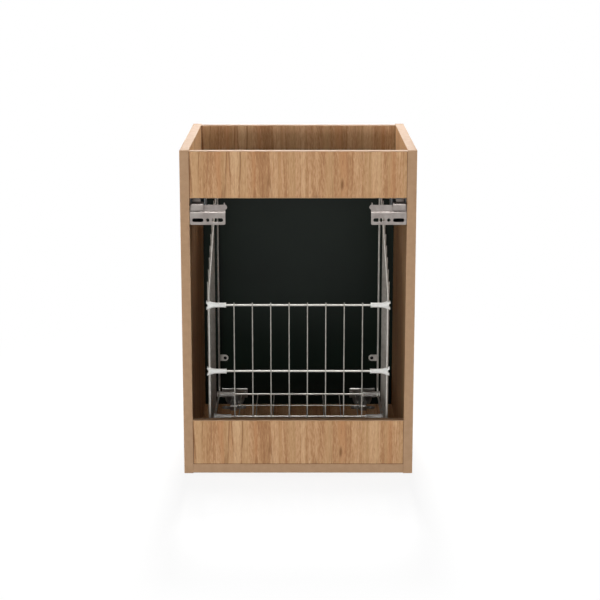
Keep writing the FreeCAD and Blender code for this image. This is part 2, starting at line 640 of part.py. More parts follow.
def connector(hand, y, z, along):
    """A sleeve over a rod's end and a forked clip on the frame wire, which runs along a row axis."""
    side = SIDES[hand]
    middle = Vector(side * BASKET_HALF, y, z)
    outwards = X_AXIS * side
    across = along.cross(X_AXIS)
    taper_start = middle - outwards * (CLIP_INWARD + CLIP_TAPER)
    clip_start = middle - outwards * CLIP_INWARD
    taper = Part.makeCone(SLEEVE_RADIUS, CLIP_RADIUS, CLIP_TAPER, taper_start, outwards)
    head = Part.makeCylinder(CLIP_RADIUS, CLIP_INWARD + CLIP_OUTWARD, clip_start, outwards)

    def slab(start, end, half_across):
        reach = along * (2 * CLIP_RADIUS) + across * half_across
        low = start - reach
        high = end + reach
        return block((low.x, high.x), (low.y, high.y), (low.z, high.z))

    outer_end = middle + outwards * CLIP_OUTWARD
    clip = taper.fuse(head).common(slab(taper_start, outer_end, CLIP_THICKNESS / 2))
    sleeve_start = middle - outwards * SLEEVE_LENGTH
    sleeve = bar(sleeve_start, clip_start, SLEEVE_RADIUS)
    rod_bore = bar(sleeve_start, middle - outwards * ROD_END_ROOM, ROD_RADIUS + CONNECTOR_CLEARANCE)
    wire_bore = bar(
        middle - along * (2 * CLIP_RADIUS), middle + along * (2 * CLIP_RADIUS),
        FRAME_RADIUS + CONNECTOR_CLEARANCE)
    fork = slab(middle, outer_end, FORK_SLOT / 2)
    return sleeve.fuse(clip).removeSplitter().cut([rod_bore, wire_bore, fork])


def basket_rods():
    """Rods across the basket, each held at both ends by a connector."""
    rods = {
        "upper": (BASKET_REAR, UPPER_ROD_Z, Z_AXIS),
        "lower": (BASKET_REAR, LOWER_ROD_Z, Z_AXIS),
        "front_floor": (FRONT_ROD_Y, BASKET_LOW, Y_AXIS),
        "middle_floor": (MIDDLE_ROD_Y, BASKET_LOW, Y_AXIS),
    }
    half_length = BASKET_HALF - ROD_END_ROOM - CONNECTOR_CLEARANCE
    for name, (y, z, along) in rods.items():
        add("basket_%s_rod" % name, cross_bar((-half_length, half_length), y, z, ROD_RADIUS))
        for hand in SIDES:
            add("%s_rod_%s_connector" % (name, hand), connector(hand, y, z, along))


def basket_tab(level, hand, z):
    """A round-ended tab on the frame's upright beside the door, with its screw into the door."""
    side = SIDES[hand]
    y = (DOOR_INNER - TAB_THICKNESS, DOOR_INNER)
    hole_x = side * (BASKET_HALF - TAB_REACH + TAB_HEIGHT / 2)
    plate = block(
        (hole_x, side * (BASKET_HALF + FRAME_RADIUS)), y, (z - TAB_HEIGHT / 2, z + TAB_HEIGHT / 2))
    seat = Vector(hole_x, DOOR_INNER - TAB_THICKNESS, z)
    end = Part.makeCylinder(TAB_HEIGHT / 2, TAB_THICKNESS, seat, Y_AXIS)
    hole = Part.makeCylinder(TAB_HOLE_RADIUS, TAB_THICKNESS, seat, Y_AXIS)
    add("%s_%s_tab" % (level, hand), plate.fuse(end).removeSplitter().cut(hole))
    add("basket_tab_screws", screw(
        seat, Y_AXIS, TAB_SCREW_RADIUS, TAB_SCREW_LENGTH, TAB_SCREW_HEAD, TAB_SCREW_HEAD_HEIGHT))
    drill("door_panel", screw_hole(seat, Y_AXIS, TAB_SCREW_RADIUS, TAB_SCREW_LENGTH))


# Boards and their edge bands, cut last because every fitting adds its holes

def side_panel(hand):
    side = SIDES[hand]
    x = (side * INNER, side * OUTER)
    upright = (BAND, HEIGHT - BAND)
    panel = block(x, (REAR + BAND, FRONT - BAND), upright)
    add(hand + "_side_panel", panel.cut(cuts[hand + "_side_panel"]))
    add("side_edge_bands", block(x, (REAR, FRONT), (0, BAND)))
    add("side_edge_bands", block(x, (REAR, FRONT), (HEIGHT - BAND, HEIGHT)))
    add("side_edge_bands", block(x, (REAR, REAR + BAND), upright))
    add("side_edge_bands", block(x, (FRONT - BAND, FRONT), upright))


def rail(node, y, bottom, top, banded_below):
    x = (-INNER, INNER)
    core_bottom = bottom + BAND if banded_below else bottom
    add(node, block(x, y, (core_bottom, top - BAND)).cut(cuts[node]))
    add("rail_edge_bands", block(x, y, (top - BAND, top)))
    if banded_below:
        add("rail_edge_bands", block(x, y, (bottom, core_bottom)))


def bottom_panel():
    x = (-INNER, INNER)
    z = (BOTTOM_LIFT, BOTTOM_TOP)
    panel = block(x, (REAR + BAND, BOTTOM_FRONT - BAND), z)
    add("bottom_panel", panel.cut(cuts["bottom_panel"]))
    add("rail_edge_bands", block(x, (REAR, REAR + BAND), z))
    add("rail_edge_bands", block(x, (BOTTOM_FRONT - BAND, BOTTOM_FRONT), z))


def door():
    y = (DOOR_INNER, DOOR_OUTER)
    core_half = DOOR_HALF - BAND
    core_z = (DOOR_LIFT + BAND, DOOR_TOP - BAND)
    panel = block((-core_half, core_half), y, core_z)
    add("door_panel", panel.cut(cuts["door_panel"]))
    add("door_edge_bands", block((-DOOR_HALF, DOOR_HALF), y, (DOOR_LIFT, core_z[0])))
    add("door_edge_bands", block((-DOOR_HALF, DOOR_HALF), y, (core_z[1], DOOR_TOP)))
    for side in SIDES.values():
        add("door_edge_bands", block((side * core_half, side * DOOR_HALF), y, core_z))
        bumper = Vector(side * (OUTER - BOARD / 2), DOOR_INNER, DOOR_TOP - BUMPER_TOP_DROP)
        add("door_bumpers", Part.makeCylinder(BUMPER_RADIUS, DOOR_GAP - BUMPER_CLEARANCE, bumper, -Y_AXIS))


join_carcass()
for hand in SIDES:
    hanger_body(hand)
    hanger_hook(hand)
    wall_plate(hand)
    hinge_plate(hand)
    hinge_arm(hand)
    hinge_cup(hand)
    basket_side(hand)
    basket_tab("lower", hand, BASKET_LOW + LOW_TAB_LIFT)
    basket_tab("upper", hand, FRONT_CORNER - TOP_TAB_DROP)
basket_mesh()
basket_rods()
for hand in SIDES:
    side_panel(hand)
rail("rear_top_rail", (REAR, REAR_RAIL_INNER), TOP_RAIL_BOTTOM, TOP_RAIL_TOP, True)
rail("rear_bottom_rail", (REAR, REAR_RAIL_INNER), BOTTOM_TOP, LOW_RAIL_TOP, False)
rail("front_top_rail", (FRONT_RAIL_INNER, FRONT), TOP_RAIL_BOTTOM, TOP_RAIL_TOP, True)
bottom_panel()
door()

os.makedirs("parts", exist_ok=True)
for node, solids in pieces.items():
    shape = solids[0] if len(solids) == 1 else Part.makeCompound(solids)
    shape.exportStep("parts/%s.step" % node)
print("%d nodes, %d solids" % (len(pieces), sum(len(solids) for solids in pieces.values())))
print("basket corners at %.1f and %.1f" % (REAR_CORNER, FRONT_CORNER))
print("pivot at y %.2f, z %.2f" % (PIVOT_Y, PIVOT_Z))
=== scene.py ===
# %% [markdown]
# # A laundry cabinet with a tilting basket
# This lesson dresses a finished construction model. The boards, wires and fittings come in with their real
# sizes and never move. Here they get their finishes, and the pieces whose edges, bends and moulded shapes
# catch the light are modelled again, each in the place of the plain solid that it stands for.

# %% Load the construction model
import bpy
import json
import math
from contextlib import contextmanager
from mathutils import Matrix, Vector


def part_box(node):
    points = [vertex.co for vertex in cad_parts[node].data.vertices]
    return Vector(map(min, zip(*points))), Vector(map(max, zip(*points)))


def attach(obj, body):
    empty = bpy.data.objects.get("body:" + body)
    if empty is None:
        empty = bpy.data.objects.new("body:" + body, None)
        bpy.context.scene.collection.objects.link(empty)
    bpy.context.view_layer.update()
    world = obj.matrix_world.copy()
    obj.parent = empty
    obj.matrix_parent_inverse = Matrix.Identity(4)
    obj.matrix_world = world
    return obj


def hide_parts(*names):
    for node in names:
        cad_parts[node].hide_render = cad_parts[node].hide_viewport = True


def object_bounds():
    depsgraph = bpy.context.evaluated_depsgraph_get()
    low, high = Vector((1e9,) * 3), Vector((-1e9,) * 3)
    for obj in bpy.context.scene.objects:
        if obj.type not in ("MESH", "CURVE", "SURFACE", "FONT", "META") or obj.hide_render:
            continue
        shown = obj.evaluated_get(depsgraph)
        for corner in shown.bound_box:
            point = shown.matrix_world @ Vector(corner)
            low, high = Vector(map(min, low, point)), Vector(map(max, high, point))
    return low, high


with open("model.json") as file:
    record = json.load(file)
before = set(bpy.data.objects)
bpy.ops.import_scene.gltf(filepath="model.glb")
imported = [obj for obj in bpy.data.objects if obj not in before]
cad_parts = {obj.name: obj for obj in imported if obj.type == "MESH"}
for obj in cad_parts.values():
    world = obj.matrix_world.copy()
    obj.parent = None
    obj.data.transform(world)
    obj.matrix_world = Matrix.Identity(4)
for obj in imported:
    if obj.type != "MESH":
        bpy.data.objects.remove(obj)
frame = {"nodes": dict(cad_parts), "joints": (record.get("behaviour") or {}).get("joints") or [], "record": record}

cad_low, cad_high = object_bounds()
SIDES = {"left": -1, "right": 1}
MM = 0.001
print("cabinet in metres:", [round(size, 3) for size in cad_high - cad_low])

# %% [markdown]
# ## Shader maths
# A material is a chain of nodes. Wiring each Math node by hand hides the idea, so one small class wraps a
# node's output. Python's own operators then add the Math nodes, and a single method adds any other node.

# %% A socket that can be added, multiplied and mixed
class Socket:
    """One output in a material's node tree."""

    def __init__(self, tree, output=None):
        self.tree = tree
        self.output = output

    def node(self, kind, settings=None, inputs=None, out=0):
        """Add a node: its settings first, then the values or links of its sockets."""
        made = self.tree.nodes.new("ShaderNode" + kind)
        for name, value in (settings or {}).items():
            if name == "stops":
                self.set_stops(made.color_ramp.elements, value)
            else:
                setattr(made, name, value)
        for name, value in (inputs or {}).items():
            if isinstance(value, Socket):
                self.tree.links.new(value.output, made.inputs[name])
            else:
                made.inputs[name].default_value = value
        return Socket(self.tree, made.outputs[out])

    @staticmethod
    def set_stops(elements, stops):
        while len(elements) < len(stops):
            elements.new(1.0)
        for element, (position, colour) in zip(elements, stops):
            element.position = position
            element.color = colour

    def math(self, operation, *values):
        return self.node("Math", {"operation": operation}, dict(enumerate(values)))

    def vector(self, operation, *values, out=0):
        return self.node("VectorMath", {"operation": operation}, dict(enumerate(values)), out)

    def __add__(self, other):
        return self.math("ADD", self, other)

    def __sub__(self, other):
        return self.math("SUBTRACT", self, other)

    def __rsub__(self, other):
        return self.math("SUBTRACT", other, self)

    def __mul__(self, other):
        return self.math("MULTIPLY", self, other)

    __radd__ = __add__
    __rmul__ = __mul__

    def ease(self, start, end):
        """A soft step: 0 below start, 1 above end."""
        limits = {"Value": self, "From Min": start, "From Max": end}
        return self.node("MapRange", {"interpolation_type": "SMOOTHSTEP"}, limits)

    def mix(self, under, over):
        """Two colours, mixed by this value."""
        return self.node("Mix", {"data_type": "RGBA"}, {0: self, 6: under, 7: over}, out=2)


print("shader maths is ready")

# %% [markdown]
# ## Tools that every finish shares
# Colours are named as the eye reads them, from 0 to 255, and made linear for the shader. Stretched noise is
# the raw material of wood fibres, brushed metal and moulded skin alike, so it has a helper of its own.

# %% Start a finish, stretch a noise, add a bump
def srgb(red, green, blue):
    """A colour as the eye names it, made linear."""
    shares = [value / 255 for value in (red, green, blue)]
    return (*[((share + 0.055) / 1.055) ** 2.4 if share > 0.04 else share / 12.92 for share in shares], 1.0)


def begin(name, roughness, metallic=0.0, specular=0.5):
    """A new material, its surface shader and the place of each point in the cabinet's own frame."""
    material = bpy.data.materials.new(name)
    material.use_nodes = True
    shader = material.node_tree.nodes["Principled BSDF"]
    shader.inputs["Roughness"].default_value = roughness
    shader.inputs["Metallic"].default_value = metallic
    shader.inputs["Specular IOR Level"].default_value = specular
    return material, shader, Socket(material.node_tree).node("TexCoord", out="Object")


def feed(shader, colour, roughness=None, normal=None):
    """Link finished values to the shader's own sockets."""
    for name, value in {"Base Color": colour, "Roughness": roughness, "Normal": normal}.items():
        if value:
            value.tree.links.new(value.output, shader.inputs[name])


def noise(place, scale, detail=3.0, roughness=0.55):
    """Noise with its own scale, in features a metre, along each axis."""
    stretched = place.vector("MULTIPLY", place, scale)
    settings = {"Vector": stretched, "Scale": 1.0, "Detail": detail, "Roughness": roughness}
    return place.node("TexNoise", None, settings)


def even(scale):
    """The same scale along all three axes."""
    return (scale, scale, scale)


def bump(height, depth, strength=1.0):
    """A normal that rises and falls with a value, by a depth in metres."""
    inputs = {"Height": height, "Strength": strength, "Distance": depth}
    return height.node("Bump", None, inputs, out="Normal")


print("a mid grey, linear:", [round(part, 3) for part in srgb(128, 128, 128)])

# %% [markdown]
# ## Wood decor
# The boards wear a printed oak. On the rails its grain stands upright although the boards lie, and the three
# rails show the same figure, because they were cut from one print. A wave texture looks like corduroy, so
# the figure is built from noise drawn out along the grain: broad rosy and straw-coloured bands, fine fibres,
# short flecks, and a few thin growth lines. A growth line runs wherever a slow noise crosses its middle
# value, as a contour line on a map, so the lines lean, fork and fade like those of a real tree.

# %% Oak for boards with any grain direction
OAK_DEEP = srgb(148, 106, 72)
OAK_BROWN = srgb(170, 127, 90)
OAK_TAN = srgb(187, 147, 109)
OAK_PALE = srgb(205, 169, 132)
OAK_STRAW = srgb(186, 152, 111)
OAK_ROSY = srgb(178, 127, 87)
OAK_LINE = srgb(120, 80, 50)
# The dark line in the joints between boards: dust, and painted shade standing for the gap's shadow.
OAK_JOINT_DUST_AND_SHADE = srgb(84, 56, 38)
BAND_SHARE = 1.0
STRIPE_SHARE = 0.7
FLECK_SHARE = 0.7
FIBRE_SHARE = 0.8
KNOT_RADIUS = 0.6 * MM
KNOT_REACH = 4.2 * MM
KNOT_SWIRL = 16.0 * MM
KNOT_SQUEEZE = 0.28


def grained(across, along):
    """A noise scale that is drawn out along the mapped Z axis."""
    return (across, across, along)


def knot_mask(grain, middle, radius, reach):
    """1 in a knot, 0 past its reach. A knot is a branch that runs through the board along Y."""
    offset = grain.vector("SUBTRACT", grain, middle)
    squeezed = grain.vector("MULTIPLY", offset, (1, 0, KNOT_SQUEEZE))
    away = grain.vector("LENGTH", squeezed, out="Value")
    return 1 - away.ease(radius, reach)


def oak(name, turn=(0, 0, 0), start=(0, 0, 0), knots=(), shade_masks=(), specular=0.03):
    """Oak with its grain along the mapped Z axis. Masks are functions of a place: painted shade and dust in
    joints.
    """
    material, shader, place = begin(name, 0.5, specular=specular)
    board = place.node("Mapping", None, {"Vector": place, "Location": start, "Rotation": turn})
    drift = (noise(board, grained(9, 5), 2.0) - 0.5) * 0.010
    sway = drift + (noise(board, grained(36, 14), 1.0) - 0.5) * 0.0018
    bent = board.node("CombineXYZ", None, {"X": sway, "Y": sway})
    grain = board.vector("ADD", board, bent)

    bands = noise(grain, grained(42, 1.0), 2.0)
    stripes = noise(grain, grained(180, 3.0), 2.0, 0.6)
    flecks = noise(grain, grained(560, 100), 2.0)
    fibres = noise(grain, grained(900, 10), 4.0, 0.7)
    tone = (bands - 0.5) * BAND_SHARE + (stripes - 0.5) * STRIPE_SHARE
    tone = tone + (flecks - 0.5) * FLECK_SHARE + (fibres - 0.5) * FIBRE_SHARE + 0.5
    stops = [(0.16, OAK_DEEP), (0.40, OAK_BROWN), (0.55, OAK_TAN), (0.84, OAK_PALE)]
    wood = tone.node("ValToRGB", {"stops": stops}, {"Fac": tone})
    straw = noise(grain, grained(62, 1.3), 1.0).ease(0.45, 0.62)
    wood = (straw * 0.42).mix(wood, OAK_STRAW)
    rosy = noise(grain, grained(48, 1.9), 2.0).ease(0.54, 0.70)
    wood = (rosy * 0.6).mix(wood, OAK_ROSY)

    contour = noise(grain, grained(38, 1.3), 1.0) - 0.5
    for middle in knots:
        contour = contour + knot_mask(grain, middle, 0.0, KNOT_SWIRL) * 0.12
    lines = 1 - contour.math("ABSOLUTE", contour).ease(0.004, 0.020)
    broken = noise(grain, grained(16, 9), 2.0).ease(0.40, 0.62)
    wood = (lines * broken * 0.62).mix(wood, OAK_LINE)
    for middle in knots:
        wood = (knot_mask(grain, middle, KNOT_RADIUS, KNOT_REACH) * 0.85).mix(wood, OAK_LINE)
    pores = noise(grain, grained(560, 60), 2.0).ease(0.62, 0.74)
    wood = (pores * 0.45).mix(wood, OAK_LINE)
    # Painted shade: the joints get a dark line of dust and of the gap's shadow.
    for shade_mask in shade_masks:
        wood = (shade_mask(place) * 0.8).mix(wood, OAK_JOINT_DUST_AND_SHADE)

    relief = fibres - pores * 0.8
    feed(shader, wood, 0.46 + (stripes - 0.5) * 0.2 + pores * 0.12, bump(relief, 0.0002, 0.35))
    return material


print("knots reach", KNOT_REACH / MM, "mm")

# %% The same print on three rails, with a painted line of shade and dust where a board meets the next
JOINT_SHADE_FADE = 1.6 * MM
JOINT_SHADE_EDGE = 0.3 * MM


def joint_shade(axis, limit, side):
    """A mask of painted shade and dust: it darkens the last millimetres before a limit along one axis."""

    def shade_mask(place):
        along = place.node("SeparateXYZ", None, {0: place}, out=axis) * side
        return along.ease(limit - JOINT_SHADE_FADE, limit - JOINT_SHADE_EDGE)

    return shade_mask


RAIL_START = 0.31
RAIL_KNOT = Vector((0.074, 0.0, 0.022))
rail_oak = {}
for rail in ("rear_top_rail", "rear_bottom_rail", "front_top_rail"):
    rail_low, rail_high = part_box(rail)
    # The joint masks paint shade and dust at the rail's two ends, and along the lower rail's bottom edge.
    joints = [joint_shade("X", rail_high.x, 1), joint_shade("X", -rail_low.x, -1)]
    if rail == "rear_bottom_rail":
        joints.append(joint_shade("Z", -rail_low.z, -1))
    start = Vector((RAIL_START, -rail_low.y, -rail_low.z))
    knots = [RAIL_KNOT + Vector((RAIL_START, 0, 0))]
    rail_oak[rail] = oak(rail + "_oak", start=start, knots=knots, shade_masks=joints, specular=0.25)
side_oak = oak("side_oak", start=(0.0, 0.75, 0.2))
floor_oak = oak("floor_oak", turn=(math.pi / 2, 0, 0), start=(0.6, 0.0, 0.0))
print("oak finishes:", len(rail_oak) + 2)

# %% [markdown]
# ## Plain boards and edge bands
# The board edges wear a tan plastic band, and the door is lacquered green-black. Neither is one flat colour:
# a band is faintly mottled, with a fine skin, and lacquer has the ripple called orange peel.

# %% Edge band, lacquer and beech
def edge_band(name, colour, shade):
    material, shader, place = begin(name, 0.45, specular=0.1)
    mottle = noise(place, even(90), 3.0)
    skin = noise(place, even(900), 2.0)
    tint = (mottle.ease(0.3, 0.7) * 0.55 + skin * 0.35).mix(colour, shade)
    feed(shader, tint, 0.38 + mottle * 0.16, bump(skin, 0.0001, 0.25))
    return material


def lacquer(name, colour, shade):
    material, shader, place = begin(name, 0.5, specular=0.2)
    cloud = noise(place, even(7), 4.0)
    peel = noise(place, even(520), 2.0)
    tint = cloud.ease(0.3, 0.7).mix(colour, shade)
    feed(shader, tint, 0.3 + cloud * 0.1, bump(peel, 0.00012, 0.2))
    return material


def beech(name):
    material, shader, place = begin(name, 0.6)
    fibres = noise(place, (30, 700, 700), 4.0)
    flecks = noise(place, (160, 1400, 1400), 1.0).ease(0.62, 0.7)
    pale = fibres.mix(srgb(205, 165, 118), srgb(224, 190, 146))
    feed(shader, (flecks * 0.5).mix(pale, srgb(164, 118, 76)), normal=bump(fibres, 0.0002, 0.4))
    return material


tan_edge = edge_band("tan_edge_band", srgb(176, 144, 114), srgb(164, 132, 103))
dark_edge = edge_band("dark_edge_band", srgb(35, 39, 36), srgb(28, 32, 29))
door_lacquer = lacquer("green_black_lacquer", srgb(8, 16, 11), srgb(5, 12, 8))
dowel_beech = beech("dowel_beech")
print("board finishes:", tan_edge.name, dark_edge.name, door_lacquer.name, dowel_beech.name)

# %% [markdown]
# ## Metals
# Four metals meet in this cabinet: zinc-plated pressed steel, the bluish zinc of the hanger cases, nickel on
# the hinges and a satin chrome on the wires, a little duller on the thin ones. Their looks come from the
# tint, from cloudy plating and from fine scratches that spread the gloss. The wires are only partly metallic:
# a full mirror that thin would show little more than the dark inside of the cabinet.

# %% Plated steel in five tints
WIRE_LOOK = {"spread": 0.12, "scratches": even(500), "cloud": 120, "metallic": 0.6}


def plated(name, bright, dull, gloss, spread, scratches, cloud=55, metallic=1.0):
    material, shader, place = begin(name, gloss, metallic)
    clouds = noise(place, even(cloud), 4.0, 0.6)
    scratch = noise(place, scratches, 3.0, 0.65)
    tint = clouds.ease(0.32, 0.68).mix(bright, dull)
    roughness = gloss + (clouds - 0.5) * spread + (scratch - 0.5) * spread
    feed(shader, tint, roughness, bump(scratch, 0.00006, 0.3))
    return material


zinc = plated("zinc_plate", srgb(164, 157, 152), srgb(147, 139, 135), 0.5, 0.16, (60, 900, 900))
hanger_zinc = plated("hanger_zinc", srgb(150, 157, 162), srgb(128, 135, 141), 0.45, 0.2, (700, 700, 50))
nickel = plated("hinge_nickel", srgb(150, 148, 144), srgb(132, 129, 125), 0.34, 0.14, (900, 60, 900))
wire_chrome = plated("satin_wire", srgb(202, 199, 193), srgb(186, 183, 176), 0.40, **WIRE_LOOK)
mesh_chrome = plated("satin_mesh_wire", srgb(178, 175, 168), srgb(160, 156, 149), 0.45, **WIRE_LOOK)
print("metals:", zinc.name, hanger_zinc.name, nickel.name, wire_chrome.name, mesh_chrome.name)

# %% [markdown]
# ## Small parts
# The connectors are moulded nylon, with the fine spark-eroded skin of a mould. The tab screws are black, and
# the bumpers on the door are clear soft plastic, which stays a plain pale gloss at this size.

# %% Nylon, black screws and clear bumpers
def moulded(name, colour, shade, gloss, grain_depth):
    material, shader, place = begin(name, gloss, specular=0.4)
    skin = noise(place, even(1600), 2.0)
    cloud = noise(place, even(140), 3.0)
    tint = cloud.ease(0.3, 0.7).mix(colour, shade)
    feed(shader, tint, gloss + (cloud - 0.5) * 0.2, bump(skin, grain_depth, 0.4))
    return material


white_nylon = moulded("white_nylon", srgb(226, 226, 223), srgb(214, 214, 210), 0.42, 0.00008)
clear_pad = moulded("clear_pad", srgb(206, 208, 208), srgb(188, 191, 192), 0.18, 0.00003)
black_steel = plated("black_steel", srgb(46, 46, 47), srgb(30, 30, 31), 0.4, 0.2, even(900))
print("small parts:", white_nylon.name, clear_pad.name, black_steel.name)

# %% [markdown]
# ## Dress the construction model
# Most solids keep their own shape and only change their finish. The record names a material slot for every
# node, so one table from slot to finish dresses nearly all. A few have a finish of their own: the rails and
# the floor board the oak of their direction, the thin wires their chrome and the hanger cases their zinc.

# %% Give every node its finish
slot_finish = {
    "wood_decor": side_oak, "tan_edge": tan_edge, "dark_board": door_lacquer, "dark_edge": dark_edge,
    "beech": dowel_beech, "zinc_steel": zinc, "nickel_steel": nickel, "wire_chrome": wire_chrome,
    "white_plastic": white_nylon, "black_screw": black_steel, "clear_rubber": clear_pad,
}
node_slot = {part["node"]: part["material_slot"] for part in frame["record"]["subparts"]}
body_of = {node: body for body, nodes in frame["record"]["behaviour"]["bodies"].items() for node in nodes}
own_finish = dict(rail_oak, bottom_panel=floor_oak)
for wires in ("mesh", "cross", "left", "right"):
    own_finish["basket_%s_wires" % wires] = mesh_chrome
for hand in SIDES:
    own_finish[hand + "_hanger_body"] = hanger_zinc
for node, thing in frame["nodes"].items():
    thing.data.materials.clear()
    thing.data.materials.append(own_finish.get(node, slot_finish[node_slot[node]]))
print("nodes dressed:", len(frame["nodes"]), "on", sorted(set(body_of.values())))

# %% [markdown]
# ## Modelling tools
# Pieces are modelled as by hand: a primitive at its size and place, shaped in edit mode, then finished with
# modifiers. Operators act on whatever is selected, so each tool first deselects everything and then selects
# by place, which works without a mouse. Every object stays at the origin, with its place in its mesh.

# %% Start from a box or a rod
def deselect():
    bpy.ops.object.select_all(action="DESELECT")


def settle(name):
    """Name the new primitive and move its size and place into its mesh."""
    piece = bpy.context.object
    piece.name = name
    bpy.ops.object.transform_apply(location=True, rotation=True, scale=True)
    return piece


def box_start(name, low, high):
    deselect()
    low, high = Vector(low), Vector(high)
    bpy.ops.mesh.primitive_cube_add(size=1, location=(low + high) / 2, scale=high - low)
    return settle(name)


def rod_start(name, start, end, radius, sides=32):
    deselect()
    start, end = Vector(start), Vector(end)
    run = end - start
    turn = run.to_track_quat("Z", "Y").to_euler()
    bpy.ops.mesh.primitive_cylinder_add(
        vertices=sides, radius=radius, depth=run.length, location=(start + end) / 2, rotation=turn)
    return settle(name)


print("primitives: box_start, rod_start")

# %% Select by place, and edit
TOUCH = 0.00002


def near(a, b):
    return abs(a - b) < TOUCH


def anywhere(*points):
    return True


def all_at(axis, value):
    """A test that every corner lies at one place along an axis."""
    return lambda *points: all(near(getattr(point, axis), value) for point in points)


def select_only(piece):
    deselect()
    piece.select_set(True)
    bpy.context.view_layer.objects.active = piece


@contextmanager
def editing(piece, kind, wanted):
    """Edit mode with just those faces, edges or points selected whose corners pass a test."""
    select_only(piece)
    bpy.ops.object.mode_set(mode="EDIT")
    bpy.ops.mesh.select_mode(type=kind)
    bpy.ops.mesh.select_all(action="DESELECT")
    bpy.ops.object.mode_set(mode="OBJECT")
    mesh = piece.data
    if kind == "VERT":
        for point in mesh.vertices:
            point.select = wanted(point.co)
    else:
        for item in mesh.edges if kind == "EDGE" else mesh.polygons:
            item.select = wanted(*[mesh.vertices[index].co for index in item.vertices])
    bpy.ops.object.mode_set(mode="EDIT")
    yield
    bpy.ops.object.mode_set(mode="OBJECT")


def round_edges(piece, wanted, offset, segments):
    with editing(piece, "EDGE", wanted):
        bpy.ops.mesh.bevel(offset=offset, segments=segments, affect="EDGES")


def resize(piece, kind, wanted, scale, centre):
    with editing(piece, kind, wanted):
        bpy.ops.transform.resize(value=scale, center_override=centre)


def turn_outwards(piece):
    """Let every face of a piece look outwards."""
    with editing(piece, "FACE", anywhere):
        bpy.ops.mesh.normals_make_consistent(inside=False)


print("selection within", TOUCH / MM, "mm")

# %% Cut, weld, soften, join and install
def apply(piece, kind, **settings):
    """Add a modifier, set it up and apply it."""
    modifier = piece.modifiers.new(kind.title(), kind)
    for name, value in settings.items():
        setattr(modifier, name, value)
    bpy.context.view_layer.objects.active = piece
    bpy.ops.object.modifier_apply(modifier=modifier.name)


def carve(piece, *helpers, operation="DIFFERENCE"):
    """Cut helper shapes out of a piece and delete the helpers."""
    for helper in helpers:
        apply(piece, "BOOLEAN", object=helper, operation=operation, solver="EXACT")
        bpy.data.objects.remove(helper)


def bore(place, reach, radius):
    """A round cutter through a place, by a reach to both sides."""
    return rod_start("bore", place - reach, place + reach, radius)


def weld(piece, *helpers):
    carve(piece, *helpers, operation="UNION")


def soften(piece, width, segments=2, angle=35):
    """Round every edge sharper than an angle, and shade the rest smooth."""
    limit = math.radians(angle)
    apply(piece, "BEVEL", width=width, segments=segments, limit_method="ANGLE", angle_limit=limit)
    select_only(piece)
    bpy.ops.object.shade_smooth_by_angle(angle=limit)


def join(name, pieces):
    deselect()
    for piece in pieces:
        piece.select_set(True)
    bpy.context.view_layer.objects.active = pieces[0]
    if len(pieces) > 1:
        bpy.ops.object.join()
    pieces[0].name = name
    return pieces[0]


def install(piece, node, stands_for=True):
    """Give a piece the finish and body of a node, which it stands for unless told otherwise."""
    piece.data.materials.clear()
    piece.data.materials.append(frame["nodes"][node].data.materials[0])
    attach(piece, body_of[node])
    replaced = [node] if stands_for else []
    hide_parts(*replaced)
    print("%s: %d faces, for %s" % (piece.name, len(piece.data.polygons), replaced or "no node"))


print("tools: carve, weld, soften, join, install")

# %% Find a node's middle and its separate solids
def middle_of(node):
    low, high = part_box(node)
    return (low + high) / 2


def solids_of(node):
    """The lowest and highest corners of each solid in a node. A solid is whole when no edge of it is open."""
    mesh = frame["nodes"][node].data
    boxes, places, open_edges = [], [], set()
    for face in mesh.polygons:
        corners = [tuple(round(part, 6) for part in mesh.vertices[index].co) for index in face.vertices]
        places += corners
        for edge in zip(corners, corners[1:] + corners[:1]):
            open_edges ^= {frozenset(edge)}
        if not open_edges:
            boxes.append((Vector(map(min, zip(*places))), Vector(map(max, zip(*places)))))
            places = []
    return boxes


print("solids in the side bands:", len(solids_of("side_edge_bands")))

# %% [markdown]
# ## Edge bands
# The band on a board's edge is a thin plastic strip whose two long corners are scraped round at the factory.
# That small radius draws the bright and dark lines along every edge of a cabinet. A box per strip, with only
# the corners on its outer face bevelled, gives the line without touching the board behind it.

# %% Strips with scraped corners
BAND_ROUND = 0.75 * MM
BAND_SMOOTH = math.radians(50)


def band_strip(low, high, board_middle, ends_show):
    """One strip, rounded on the side that faces away from its board."""
    size = high - low
    thin = min(range(3), key=lambda axis: size[axis])
    longest = max(range(3), key=lambda axis: size[axis])
    outer = high[thin] if low[thin] > board_middle[thin] else low[thin]
    strip = box_start("strip", low, high)

    def on_outer_corner(a, b):
        runs_along = not near(a[longest], b[longest])
        return near(a[thin], outer) and near(b[thin], outer) and (runs_along or ends_show)

    round_edges(strip, on_outer_corner, BAND_ROUND, 4)
    bpy.ops.object.shade_smooth_by_angle(angle=BAND_SMOOTH)
    return strip


def dress_edges(name, node, boards):
    middles = [middle_of(board) for board in boards]
    strips = []
    for low, high in solids_of(node):
        middle = (low + high) / 2
        size = high - low
        board = min(middles, key=lambda place: (place - middle).length)
        level = size.z < min(size.x, size.y)
        strips.append(band_strip(low, high, board, level and node != "rail_edge_bands"))
    install(join(name, strips), node)


dress_edges("side_bands", "side_edge_bands", ["left_side_panel", "right_side_panel"])
dress_edges("rail_bands", "rail_edge_bands", [*rail_oak, "bottom_panel"])
dress_edges("door_bands", "door_edge_bands", ["door_panel"])

# %% [markdown]
# ## Wall plates and hooks
# Both are strips of sheet steel with folds. Folding is easiest on a sheet without thickness: a plane is
# extruded edge by edge along the strip's path, the folds are bevelled round, and Solidify adds the sheet's
# thickness last, so the radius inside and outside each fold comes out right by itself.

